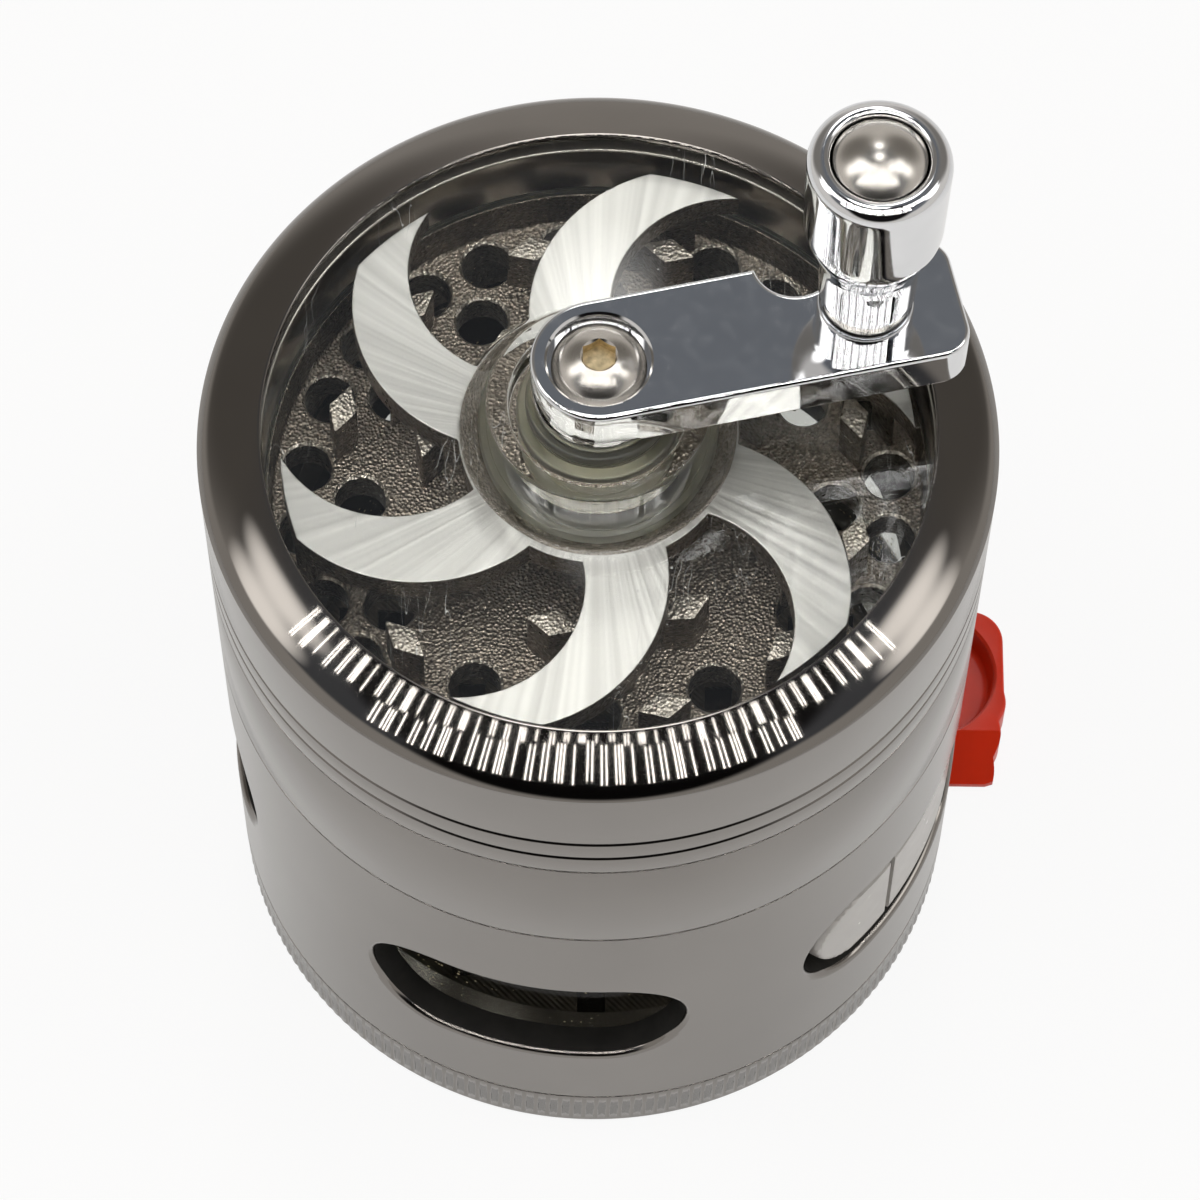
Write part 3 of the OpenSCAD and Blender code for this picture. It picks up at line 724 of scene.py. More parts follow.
def combined(mesh, tool, operation="DIFFERENCE"):
    """Cut a tool out of a mesh, or weld it on, and hand back the new mesh."""
    holders = [put(name, settled(name, source)) for name, source in (("blank", mesh), ("tool", tool))]
    blank, cutter = holders
    step = blank.modifiers.new("step", "BOOLEAN")
    step.operation = operation
    step.solver = "MANIFOLD"
    step.object = cutter
    ready = blank.evaluated_get(bpy.context.evaluated_depsgraph_get())
    result = bmesh.new()
    result.from_mesh(ready.to_mesh())
    ready.to_mesh_clear()
    for holder in holders:
        data = holder.data
        bpy.data.objects.remove(holder)
        bpy.data.meshes.remove(data)
    # Slivers, and points halfway along an edge, would keep the exported mesh from closing.
    bmesh.ops.dissolve_degenerate(result, dist=SLIVER, edges=result.edges)
    halfway = [spot for spot in result.verts if len(spot.link_edges) == 2]
    bmesh.ops.dissolve_verts(result, verts=halfway)
    if not result.faces:
        raise RuntimeError("a cut left nothing of a piece")
    return result


def piece(name, mesh, body, slot, *nodes, sharp=32):
    """Finish a mesh as a piece that rides on a body and stands for its CAD nodes."""
    data = settled(name, mesh)
    data.polygons.foreach_set("use_smooth", [True] * len(data.polygons))
    data.set_sharp_from_angle(angle=math.radians(sharp))
    data.materials.append(finish_for(slot))
    made = put(name, data)
    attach(made, body)
    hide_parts(*nodes)
    return made


def paint(made, slot, wanted):
    """Give the faces that a test picks another finish."""
    made.data.materials.append(finish_for(slot))
    index = len(made.data.materials) - 1
    for face in made.data.polygons:
        if wanted(face):
            face.material_index = index


def round_wall(data, radius):
    """Give a cut cylinder's wall the normals of the whole one, so that no streaks hang from its openings."""
    near = 0.02 * MM
    upright = 0.1
    normals = [corner.vector.copy() for corner in data.corner_normals]
    for face in data.polygons:
        if abs(away(face.center) - radius) < near and abs(face.normal.z) < upright:
            for loop in face.loop_indices:
                spot = data.vertices[data.loops[loop].vertex_index].co
                normals[loop] = Vector((spot.x, spot.y, 0)).normalized()
    data.normals_split_custom_set(normals)


def even_flats(made):
    """Let wide flat faces keep their own normal right up to their rounded edges."""
    shading = made.modifiers.new("even flats", "WEIGHTED_NORMAL")
    shading.weight = 100
    shading.keep_sharp = True


def dress(slot, *nodes):
    """Give CAD nodes, whose shapes are right, their finish."""
    for node in nodes:
        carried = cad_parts[node]
        if not carried.material_slots:
            carried.data.materials.append(finish_for(slot))
        for place in carried.material_slots:
            place.material = finish_for(slot)


class GRINDER_OT_base(bpy.types.Operator):
    """Turn the base pan with its knurled skirt."""
    bl_idname = "grinder.base"
    bl_label = "Base pan"

    floor = 2.4 * MM
    fillet = 1 * MM
    step = 0.05 * MM
    tick_steps = 8

    def execute(self, context):
        look = context.scene.grinder_housing
        outer = reach("lid_ring")
        band = outer - self.step
        core = band - look.knurl_depth - self.step
        skirt = low("window_body") - look.seam
        top = high("base_pan")
        margin = look.knurl_margin
        crest = margin + look.knurl_height
        profile = soften([
            (0, 0, 0), (core, 0, look.edge), (core, margin, 0), (band, margin, 0), (band, crest, 0),
            (outer, crest + self.step, 0), (outer, skirt, look.edge), (look.spigot, skirt, 0),
            (look.spigot, top, look.edge), (look.spigot_bore, top, look.edge),
            (look.spigot_bore, self.floor, self.fillet), (0, self.floor, 0)])

        def ticks(turn, radius, height):
            """Only the band's own points are rolled in."""
            if abs(radius - band) > 1e-6:
                return 0
            share = 0.5 - 0.5 * math.cos(turn * look.knurl_ticks)
            return -look.knurl_depth * share ** 3

        piece("base_pan_turned", turned(profile, look.knurl_ticks * self.tick_steps, ripple=ticks),
              "base", "housing", "base_pan", sharp=50)
        return {"FINISHED"}


class GRINDER_OT_window_section(bpy.types.Operator):
    """Turn the catch chamber, mill its windows, and roll the clear sheet behind them."""
    bl_idname = "grinder.window_section"
    bl_label = "Window section"

    # Directions are in degrees from the front, anticlockwise from above.
    azimuths = (-92, -10.7, 60.5, 130, 199)
    sheet_seam = 54
    sprung_window = 60.5
    segments = 720
    end_steps = 24
    straight_steps = 40
    mouth_angles = (22.5, 45, 67.5, 90)
    cutter_from = 24 * MM
    cutter_past = 8 * MM
    sieve_play = 0.1 * MM
    shoulder_drop = 2.2 * MM
    ledge_width = 2.2 * MM
    ledge_depth = 1.5 * MM
    sheet_depth = 0.5 * MM
    sheet_steps = 60
    sheet_clear = 0.4 * MM
    sheet_ramp = 1.4 * MM
    whitish_share = 0.3

    def slot_outline(self, look, end):
        """A round-ended slot, as steps along the wall and up, with ends of one radius."""
        half = look.slot_length / 2 - look.slot_height / 2
        steps = self.straight_steps
        points = arc(Vector((half, 0)), end, -math.pi / 2, math.pi / 2, self.end_steps)
        straight = [Vector((half - 2 * half * step / steps, end)) for step in range(1, steps)]
        points += straight + arc(Vector((-half, 0)), end, math.pi / 2, 3 * math.pi / 2, self.end_steps)
        return points + [Vector((-point.x, -end)) for point in straight]

    def slot_cutter(self, look, outer, azimuth):
        """A window's cutter, wrapped round the wall, that flares at the mouth."""
        lip = look.lip
        rows = [(0, self.cutter_from), (0, outer - lip)]
        rows += [(lip * (1 - math.cos(turn)), outer - lip * (1 - math.sin(turn)))
                 for turn in (math.radians(angle) for angle in self.mouth_angles)]
        rows.append((2 * lip, outer + self.cutter_past))
        middle = math.radians(azimuth - 90)
        mesh = bmesh.new()
        rings = []
        for grow, radius in rows:
            ring = []
            for along, up in self.slot_outline(look, look.slot_height / 2 + grow):
                turn = middle + along / outer
                ring.append(mesh.verts.new((radius * math.cos(turn), radius * math.sin(turn),
                                            look.slot_rise + up)))
            rings.append(ring)
        for here, there in zip(rings, rings[1:]):
            for index in range(len(here)):
                mesh.faces.new((here[index - 1], here[index], there[index], there[index - 1]))
        for ring in (rings[0], rings[-1]):
            hub = mesh.verts.new(sum((vert.co for vert in ring), Vector()) / len(ring))
            for index in range(len(ring)):
                mesh.faces.new((ring[index - 1], ring[index], hub))
        bmesh.ops.recalc_face_normals(mesh, faces=mesh.faces)
        return mesh

    def chamber(self, look, housing):
        """The milled body, black inside."""
        outer = reach("lid_ring")
        edge = housing.edge
        bottom = low("window_body")
        rim = high("window_body")
        top = low("grinding_body") - housing.seam
        wall = reach("sieve_mesh") + self.sieve_play
        shoulder = top - self.shoulder_drop
        ledge = low("sieve_mesh")
        under = ledge - self.ledge_depth
        opening = wall - self.ledge_width
        profile = soften([
            (outer, bottom, edge), (outer, top, edge), (housing.spigot, top, 0), (housing.spigot, rim, edge),
            (housing.spigot_bore, rim, edge), (housing.spigot_bore, shoulder, 0), (wall, shoulder, 0),
            (wall, ledge, 0), (opening, ledge, 0), (opening, under, 0), (housing.socket, under, 0),
            (housing.socket, bottom, edge)])
        cutters = merged([self.slot_cutter(look, outer, azimuth) for azimuth in self.azimuths])
        body = combined(turned(profile, self.segments), cutters)
        made = piece("window_body_milled", body, "window_section", "housing", "window_body")
        skin = outer - look.lip - 0.05 * MM
        # The chamber's inside and the window sills are painted black as shade.
        paint(made, "chamber", lambda face: away(face.center) < skin
              and bottom + 1 * MM < face.center.z < top - 1 * MM)
        round_wall(made.data, outer)

    def sheet(self, look):
        """The rolled sheet, whose free ends push out into the window that they meet in."""
        outer = reach("window_liner")
        inner = outer - self.sheet_depth
        bottom = low("window_liner")
        tall = high("window_liner") - bottom
        seam = look.seam_gap / outer
        first = math.radians(self.sheet_seam - 90) + seam / 2
        levels = [bottom + tall * step / self.sheet_steps for step in range(self.sheet_steps + 1)]
        profile = [Vector((outer, level)) for level in levels]
        profile += [Vector((inner, level)) for level in reversed(levels)]
        wall = reach("lid_ring")
        opening = math.radians(self.sprung_window - 90)
        straight = (look.slot_length - look.slot_height) / 2
        reached = look.slot_height / 2 - self.sheet_clear

        def spring(turn, radius, height):
            """How far the sheet stands out at one place."""
            along = abs((turn - opening + math.pi) % math.tau - math.pi) * wall
            off = math.hypot(max(0, along - straight), height - look.slot_rise)
            return look.spring * eased((reached - off) / self.sheet_ramp)

        made = piece("window_sheet_rolled", turned(profile, self.segments, first, math.tau - seam, spring),
                     "window_section", "clear_film", "window_liner")
        paint(made, "whitish_film", lambda face: away(face.center) > outer + self.whitish_share * look.spring)

    def execute(self, context):
        look = context.scene.grinder_window
        self.chamber(look, context.scene.grinder_housing)
        self.sheet(look)
        dress("screen_wire", "sieve_mesh")
        dress("plain_steel", "sieve_ring")
        return {"FINISHED"}


class GRINDER_OT_grinding_section(bpy.types.Operator):
    """Turn the grinding section, drill its plate and weld on the diamond teeth."""
    bl_idname = "grinder.grinding_section"
    bl_label = "Grinding section"

    hole_steps = 12
    hole_pair = math.radians(7)
    # Each ring of teeth: their number and the turn of the first, in degrees.
    outer_teeth = (12, 15)
    inner_teeth = (8, 31)
    hole_segments = 40
    sink = 0.22 * MM
    root = 0.5 * MM
    fillet = 0.4 * MM
    lid_play = 0.3 * MM
    spigot_play = 0.4 * MM
    wall = 2.2 * MM
    throat_step = 1.5 * MM

    def drill(self, look, ring, turn):
        """A drill with a countersink, so that each hole has a bright edge."""
        radius = look.hole / 2
        top = look.plate_rise
        under = top - look.plate_depth - OVER
        shape = bored((0, under), (radius, under), (radius, top - self.sink),
                      (radius + 2 * self.sink, top + self.sink), (0, top + self.sink),
                      segments=self.hole_segments)
        return placed(shape, ring, turn)

    def teeth(self, look, ring, count, phase):
        """A ring of fixed teeth, rooted in the plate."""
        rise = look.plate_rise
        made = []
        for index in range(count):
            shape = tooth(look.tooth_width, look.tooth_length, rise - self.root, rise + look.tooth_height)
            made.append(placed(shape, ring, math.radians(phase) + math.tau * index / count))
        return made

    def execute(self, context):
        housing = context.scene.grinder_housing
        look = context.scene.grinder_plate
        outer = reach("lid_ring")
        bottom = low("grinding_body")
        top = low("lid_ring") - housing.seam
        collar = context.scene.grinder_lid.socket - self.lid_play
        inner = collar - self.wall
        collar_top = low("friction_ring")
        throat = housing.socket - self.throat_step
        socket_top = high("window_body") + self.spigot_play
        rise = look.plate_rise
        under = rise - look.plate_depth
        edge = housing.edge
        profile = soften([
            (outer, bottom, edge), (outer, top, edge), (collar, top, 0), (collar, collar_top, edge),
            (inner, collar_top, edge), (inner, rise, self.fillet), (0, rise, 0), (0, under, 0),
            (throat, under, 0), (throat, socket_top, 0), (housing.socket, socket_top, 0),
            (housing.socket, bottom, edge)])
        drills = []
        for index in range(self.hole_steps):
            turn = math.tau * index / self.hole_steps
            drills.append(self.drill(look, look.inner_hole_ring, turn))
            drills.append(self.drill(look, look.hole_ring, turn + self.hole_pair))
            drills.append(self.drill(look, look.hole_ring, turn - self.hole_pair))
        body = combined(turned(profile), merged(drills))
        teeth = self.teeth(look, look.tooth_ring, *self.outer_teeth)
        teeth += self.teeth(look, look.inner_tooth_ring, *self.inner_teeth)
        body = combined(body, merged(teeth), "UNION")
        made = piece("grinding_body_drilled", body, "grinding_section", "housing", "grinding_body")

        def topmost(face):
            """Faces as high as the teeth, turned up."""
            return face.center.z > rise + look.tooth_height - 0.2 * MM and face.normal.z > 0.5

        def rubbed_and_highlit(face):
            """Countersinks of the holes, painted lighter as a highlight, and tops of the teeth, lighter from
            wear and painted highlight.
            """
            if topmost(face):
                return away(face.center) < inner - 1 * MM
            return abs(face.center.z - rise + self.sink / 2) < 0.1 * MM and 0.5 < face.normal.z < 0.9

        paint(made, "blasted_nickel", lambda face: away(face.center) < collar + 0.1 * MM or topmost(face))
        # Countersinks get the lighter plate as painted highlight; tooth tops get it as wear and painted
        # highlight.
        paint(made, "worn_and_highlit_teeth", rubbed_and_highlit)
        dress("nylon", "friction_ring")
        return {"FINISHED"}


class GRINDER_OT_lid(bpy.types.Operator):
    """Turn the rim, its sleeve, the clear plate with its hub, and the bush."""
    bl_idname = "grinder.lid"
    bl_label = "Lid"

    grooves = (2.8 * MM, 5.4 * MM)
    groove_lip = 0.05 * MM
    groove_root = 0.08 * MM
    rim_slopes = (8, 27, 58)
    rim_share = 0.8
    rim_steps = 16
    rim_lip = 0.16 * MM
    sleeve_lip = 0.2 * MM
    pane_drop = 0.5 * MM
    hub_hole = 4.6 * MM
    recess_drop = 1.3 * MM
    bush_bore = 3.05 * MM
    bush_play = 0.02 * MM

    def rim_top(self, look):
        """The rim's top, as steps out and down from its inner edge: a flat dome, then a tighter shoulder."""
        points = [(0, 0)]
        spans = (self.rim_share * look.rim_width, (1 - self.rim_share) * look.rim_width)
        for span, first, last in zip(spans, self.rim_slopes, self.rim_slopes[1:]):
            out, fall = points[-1]
            near = math.radians(first)
            far = math.radians(last)
            radius = span / (math.sin(far) - math.sin(near))
            for step in range(1, self.rim_steps + 1):
                turn = near + (far - near) * step / self.rim_steps
                points.append((out + radius * (math.sin(turn) - math.sin(near)),
                               fall + radius * (math.cos(near) - math.cos(turn))))
        scale = look.rim_drop / points[-1][1]
        return [(out, fall * scale) for out, fall in points]

    def rim(self, look, housing, rim_in, pane_top):
        """The grooved ring with its polished top."""
        outer = reach("lid_ring")
        bottom = low("lid_ring")
        top = high("lid_ring")
        seam = bottom - housing.seam
        sleeve = low("lid_sleeve")
        half = look.groove_width / 2
        corners = [(look.socket, bottom, housing.edge), (outer, bottom, housing.edge)]
        for rise in self.grooves:
            corners += [(outer, seam + rise - half, self.groove_lip),
                        (outer - look.groove_depth, seam + rise, self.groove_root),
                        (outer, seam + rise + half, self.groove_lip)]
        corners += [(rim_in + out, top - fall, 0) for out, fall in reversed(self.rim_top(look)[1:])]
        corners += [(rim_in, top, self.rim_lip), (rim_in, pane_top, 0), (look.bore, pane_top, 0),
                    (look.bore, sleeve, 0), (look.socket, sleeve, 0)]
        made = piece("lid_rim_turned", turned(soften(corners), 512), "lid", "housing", "lid_ring", sharp=25)
        crease = top - look.rim_drop
        paint(made, "polished_rim", lambda face: face.center.z > crease
              and away(face.center) > rim_in + 0.01 * MM)

    def execute(self, context):
        look = context.scene.grinder_lid
        rim_in = reach("lid_ring") - look.rim_width
        pane_top = high("lid_ring") - self.pane_drop
        self.rim(look, context.scene.grinder_housing, rim_in, pane_top)
        lip = self.sleeve_lip
        bottom = low("lid_sleeve")
        top = high("lid_sleeve")
        made = piece("lid_sleeve_turned", turned(soften([
            (rim_in, bottom, lip), (look.bore, bottom, 0), (look.bore, top, 0), (rim_in, top, lip)])),
            "lid", "blasted_nickel", "lid_sleeve")
        made.data.materials[0] = finish_for("plain_steel")
        pane = reach("clear_lid")
        bottom = low("clear_lid")
        hub = high("clear_lid")
        hole = self.hub_hole
        recess = low("spacer_washer") - self.recess_drop
        piece("clear_lid_polished", turned(soften([
            (hole, bottom, 0), (pane, bottom, 0), (pane, pane_top, 0), (look.hub_foot, pane_top, 0.45 * MM),
            (look.hub_top, hub, 0.4 * MM), (look.hub_recess, hub, 0.3 * MM),
            (look.hub_recess, recess, 0.2 * MM), (hole, recess, 0)], 6), 512),
            "lid", "clear_acrylic", "clear_lid", sharp=40)
        play = self.bush_play
        flange = reach("shaft_bush")
        bottom = low("shaft_bush")
        top = high("shaft_bush")
        made = piece("shaft_bush_turned", turned(soften([
            (self.bush_bore, bottom, 0), (hole - play, bottom, 0), (hole - play, recess + play, 0),
            (flange, recess + play, 0.15 * MM), (flange, top, 0.25 * MM), (self.bush_bore, top, 0.15 * MM)]),
            256), "lid", "nylon", "shaft_bush")
        # The bush's barrel below the recess is painted black as shade seen through the clear hub.
        paint(made, "chamber", lambda face: face.center.z < recess)
        return {"FINISHED"}


class GRINDER_OT_rotor(bpy.types.Operator):
    """Cut the six-armed rotor with its teeth, and dress the pieces that hold it to the shaft."""
    bl_idname = "grinder.rotor"
    bl_label = "Rotor"

    tip = 25 * MM
    back_centre = Vector((tip - 11.1 * MM, -2.65 * MM))
    front_centre = Vector((tip - 9.3 * MM, -5.1 * MM))
    side_steps = 28
    tip_steps = 10
    root_steps = 6
    # Each row of teeth: radius of the ring, turn from the tip in degrees and share of the teeth's width.
    tooth_rows = ((17.4 * MM, 26, 1), (tip - 1.2 * MM, 9, 0.85))
    tooth_root = 0.5 * MM
    relief = 0.05 * MM
    seat_margin = 0.6 * MM
    edge = 0.12 * MM

    def crossing(self, centre, radius, ring):
        """Where a circle leaves a ring round the middle, going anticlockwise: the point and its angle."""
        far = centre.length
        half = math.acos((far ** 2 + ring ** 2 - radius ** 2) / (2 * far * ring))
        turn = math.atan2(centre.y, centre.x) + half
        return ring * Vector((math.cos(turn), math.sin(turn))), turn

    def outline(self, look):
        """The rotor seen from above: a disc with one crescent after another."""
        tip = self.tip
        middle = Vector((0, 0))
        back = self.back_centre
        front = self.front_centre
        root_front, root_first = self.crossing(front, look.front, look.hub)
        tip_front, tip_first = self.crossing(front, look.front, tip)
        tip_back, tip_last = self.crossing(back, look.back, tip)
        root_back, root_last = self.crossing(back, look.back, look.hub)
        pitch = math.tau / look.arms
        arm = arc_between(front, look.front, root_front, tip_front, self.side_steps)[:-1]
        arm += arc(middle, tip, tip_first, tip_last, self.tip_steps)[:-1]
        arm += arc_between(back, look.back, tip_back, root_back, self.side_steps)[:-1]
        arm += arc(middle, look.hub, root_last, root_first + pitch, self.root_steps)[:-1]
        points = []
        for index in range(look.arms):
            turn = Matrix.Rotation(look.phase + pitch * index, 2)
            points += [turn @ point for point in arm]
        return points

    def execute(self, context):
        look = context.scene.grinder_rotor
        teeth_look = context.scene.grinder_plate
        top = high("rotor")
        bottom = top - look.plate
        relief = top - self.relief
        seat = look.hub - self.seat_margin
        body = plate(self.outline(look), bottom, top, self.edge, 2)
        bore = bored((0, bottom - OVER), (look.bore, bottom - OVER), (look.bore, relief), (seat, relief),
                     (seat, top + OVER), (0, top + OVER), segments=96)
        body = combined(body, bore)
        teeth = []
        for index in range(look.arms):
            for ring, turn, share in self.tooth_rows:
                shape = tooth(share * teeth_look.tooth_width, teeth_look.tooth_length, low("rotor"),
                              bottom + self.tooth_root)
                angle = look.phase + math.radians(turn) + math.tau * index / look.arms
                teeth.append(placed(shape, ring, angle))
        body = combined(body, merged(teeth), "UNION")
        made = piece("rotor_cut", body, "crank", "satin_rotor", "rotor")
        # Sides are grit-blasted plate; the seat under the clear hub is painted dark as shade seen through the
        # hub.
        paint(made, "blasted_nickel", lambda face: abs(face.normal.z) < 0.3
              or abs(face.center.z - relief) < 0.01 * MM)
        even_flats(made)
        dress("plain_steel", "drive_shaft", "rotor_washer")
        dress("nylon", "thrust_washer")
        dress("screw_steel", "rotor_screw")
        return {"FINISHED"}


class GRINDER_OT_crank(bpy.types.Operator):
    """Cast the crank arm, stack it on the shaft and screw it down."""
    bl_idname = "grinder.crank"
    bl_label = "Crank"

    head_depth = 2.2 * MM
    head_rise = 1.8 * MM
    shaft = 3 * MM
    shank = 2 * MM
    hexagon = 2.5 * MM
    hexagon_depth = 1.3 * MM
    mouth_depth = 0.5 * MM
    mouth_in = 0.28 * MM
    mouth_out = 0.3 * MM
    mouth_rise = 0.08 * MM
    sink = 0.18 * MM
    head_play = 0.3 * MM
    bite_back = 4.7 * MM
    bite_out = 0.2 * MM
    end_steps = 48
    corner_steps = 12

    def arm_outline(self, look):
        """The arm seen from above, with the shaft at the origin and the knob on +X."""
        half = look.width / 2
        shoulder = look.throw + look.tail - look.corner
        bite = Vector((look.throw - self.bite_back, half + self.bite_out))
        bite_half = math.sqrt(look.bite ** 2 - (bite.y - half) ** 2)
        deepest = bite - Vector((0, look.bite))
        steps = self.corner_steps
        points = arc(Vector((0, 0)), half, math.pi / 2, 3 * math.pi / 2, self.end_steps)
        points += arc(Vector((shoulder, -half + look.corner)), look.corner, -math.pi / 2, 0, steps)
        points += arc(Vector((shoulder, half - look.corner)), look.corner, 0, math.pi / 2, steps)
        points += arc_between(bite, look.bite, Vector((bite.x + bite_half, half)), deepest, steps)[:-1]
        points += arc_between(bite, look.bite, deepest, Vector((bite.x - bite_half, half)), steps)
        return points

    def arm(self, look, head):
        """The arm with its counterbore and the hole for the pin."""
        bottom = low("crank_arm")
        top = high("crank_arm")
        bore = reach("pivot_screw") + self.head_play
        shaft_bore = bored((0, bottom - OVER), (self.shaft, bottom - OVER), (self.shaft, head), (bore, head),
                           (bore, top - self.sink), (bore + 2 * self.sink, top + self.sink),
                           (0, top + self.sink), segments=128)
        pin_bore = bored((0, bottom - OVER), (PIN_SEAT, bottom - OVER), (PIN_SEAT, top + OVER),
                         (0, top + OVER), segments=64)
        bmesh.ops.translate(pin_bore, verts=pin_bore.verts, vec=(look.throw, look.offset, 0))
        arm = plate(self.arm_outline(look), bottom, top, look.edge, 4)
        arm = combined(arm, merged([shaft_bore, pin_bore]))
        bmesh.ops.rotate(arm, verts=arm.verts, matrix=Matrix.Rotation(look.angle, 3, "Z"))
        even_flats(piece("crank_arm_cast", arm, "crank", "bright_chrome", "crank_arm", sharp=35))

    def screw(self, head):
        """The button-head screw, with an oily hex socket."""
        bottom = low("pivot_screw")
        crown = high("pivot_screw")
        radius = reach("pivot_screw")
        rise = self.head_rise
        lip = 0.2 * MM
        screw = turned(soften([
            (0, bottom, 0), (self.shank, bottom, 0.4 * MM), (self.shank, head, 0), (radius, head, lip),
            (radius, crown - rise, lip)] + dome(radius, crown, rise, 16)), 192)
        corner = self.hexagon / math.sqrt(3)
        turns = [math.tau * (side + 0.5) / 6 for side in range(6)]
        outline = [Vector((corner * math.cos(turn), corner * math.sin(turn))) for turn in turns]
        floor = crown - self.hexagon_depth
        socket = plate(outline, floor, crown + OVER)
        neck = crown - self.mouth_depth
        wide = corner + self.mouth_out
        mouth = bored((0, neck), (corner - self.mouth_in, neck), (wide, crown + self.mouth_rise),
                      (wide, crown + OVER), (0, crown + OVER), segments=96)
        screw = combined(combined(screw, mouth), socket)
        made = piece("pivot_screw_headed", screw, "crank", "screw_steel", "pivot_screw")

        def inside(face):
            """Walls and floor of the socket."""
            if away(face.center) >= corner:
                return False
            walls = face.center.z > head and abs(face.normal.z) < 0.2
            return walls or abs(face.center.z - floor) < 0.1 * MM

        paint(made, "screw_socket", inside)

    def execute(self, context):
        look = context.scene.grinder_crank
        head = high("pivot_screw") - self.head_depth
        self.arm(look, head)
        for node, slot, lip in (("spacer_washer", "nylon", 0.3 * MM),
                                ("arm_collar", "bright_chrome", 0.2 * MM)):
            outer = reach(node)
            piece(node + "_turned", turned(soften([
                (self.shaft, low(node), 0), (outer, low(node), lip), (outer, high(node), lip),
                (self.shaft, high(node), 0)]), 192), "crank", slot, node)
        self.screw(head)
        dress("plain_steel", "knob_washer")
        return {"FINISHED"}


class GRINDER_OT_knob(bpy.types.Operator):
    """Turn the knob and the headed pin that it spins on."""
    bl_idname = "grinder.knob"
    bl_label = "Knob"

    bore = 2.05 * MM
    shank = 2 * MM
    crown = 1.2 * MM
    taper = 0.3 * MM
    flare_from = 0.24
    flare_span = 0.3
    wall_steps = 48
    crown_steps = 12
    pin_rise = 1.45 * MM
    head_play = 0.15 * MM
    seat_play = 0.3 * MM

    def radius(self, look, share):
        """Radius of the knob at a share of its height: a neck that flares into a barrel."""
        flare = eased((share - self.flare_from) / self.flare_span)
        return look.neck + (look.barrel - self.taper - look.neck) * flare + self.taper * share

    def execute(self, context):
        look = context.scene.grinder_crank
        at = axis("knob")
        bottom = low("knob")
        top = high("knob")
        tall = top - bottom
        floor = top - look.cup_depth
        shoulder = 1 - self.crown / tall
        corners = [(self.bore, bottom, 0), (self.radius(look, 0), bottom, 0.3 * MM)]
        corners += [(self.radius(look, shoulder * step / self.wall_steps),
                     bottom + tall * shoulder * step / self.wall_steps, 0)
                    for step in range(2, self.wall_steps + 1)]
        corners += [(self.radius(look, shoulder) - self.crown * (1 - math.cos(turn)),
                     top - self.crown * (1 - math.sin(turn)), 0)
                    for turn in (math.radians(90 / self.crown_steps * step)
                                 for step in range(1, self.crown_steps + 1))]
        corners += [(look.cup, top, 0.5 * MM), (look.cup, floor, 0.3 * MM), (self.bore, floor, 0)]
        knob = turned(soften(corners), 256)
        bmesh.ops.translate(knob, verts=knob.verts, vec=(at.x, at.y, 0))
        piece("knob_turned", knob, "knob", "bright_chrome", "knob", sharp=40)
        head = look.cup - self.head_play
        crest = high("knob_pin")
        rim = crest - self.pin_rise
        seat = floor + self.seat_play
        foot = low("knob_pin")
        washer = low("knob_washer")
        pin = turned(soften([
            (0, foot, 0), (PIN_SEAT, foot, 0), (PIN_SEAT, washer, 0), (self.shank, washer, 0),
            (self.shank, seat, 0), (head, seat, 0.1 * MM), (head, rim, 0)]
            + dome(head, crest, crest - rim, 20)), 128)
        bmesh.ops.translate(pin, verts=pin.verts, vec=(at.x, at.y, 0))
        piece("knob_pin_headed", pin, "crank", "screw_steel", "knob_pin")
        return {"FINISHED"}


class GRINDER_OT_scraper(bpy.types.Operator):
    """Mould the loose scraper with its ribbed grip, thumb hollow and sloped tip."""
    bl_idname = "grinder.scraper"
    bl_label = "Scraper"

    wide = 5.1 * MM
    rim = 0.25 * MM
    hollow_at = (-1.9 * MM, 9.6 * MM, 0)

    def plan(self, look, long):
        """The scraper seen from above, with the edge beside the wall at x = 0."""
        lead = 1 * MM
        steps = 12 * look.ribs
        points = [Vector((0, 0)), Vector((look.tip, 0))]
        for step in range(steps + 1):
            share = step / steps
            along = share * (look.grip + lead) - lead
            if along > 0.05 * MM:
                rib = look.rib_height * abs(math.sin(math.pi * look.ribs * share))
                points.append(Vector((look.grip_root + (self.wide - look.grip_root) * share + rib, along)))
        corner = Vector((self.wide - look.corner, long - look.corner))
        points += arc(corner, look.corner, 0, math.pi / 2, 12)
        return points + [Vector((0, long))]

    def execute(self, context):
        look = context.scene.grinder_scraper
        first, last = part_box("scraper")
        thick = last.z - first.z
        rim = self.rim
        blade = plate(self.plan(look, last.y - first.y), 0, thick, look.edge, 4)
        floor = thick - look.hollow_depth
        bowl = turned(soften([
            (0, floor, 0), (look.hollow - 0.3 * MM, floor, 0.6 * MM), (look.hollow, thick - rim, 0.2 * MM),
            (look.hollow + 2 * rim, thick + rim, 0), (0, thick + rim, 0)]), 160)
        bmesh.ops.translate(bowl, verts=bowl.verts, vec=self.hollow_at)
        slope = look.wedge_drop / look.wedge
        side = [Vector((-OVER, thick - look.wedge_drop - slope * OVER)), Vector((look.wedge, thick)),
                Vector((look.wedge, thick + OVER)), Vector((-OVER, thick + OVER))]
        wedge = plate(side, -OVER, self.wide + OVER)
        upright = Matrix(((0, 0, 1, 0), (1, 0, 0, 0), (0, 1, 0, 0), (0, 0, 0, 1)))
        bmesh.ops.transform(wedge, matrix=upright, verts=wedge.verts)
        blade = combined(combined(blade, bowl), wedge)
        bmesh.ops.translate(blade, verts=blade.verts, vec=first)
        piece("scraper_moulded", blade, "scraper", "red_plastic", "scraper")
        return {"FINISHED"}


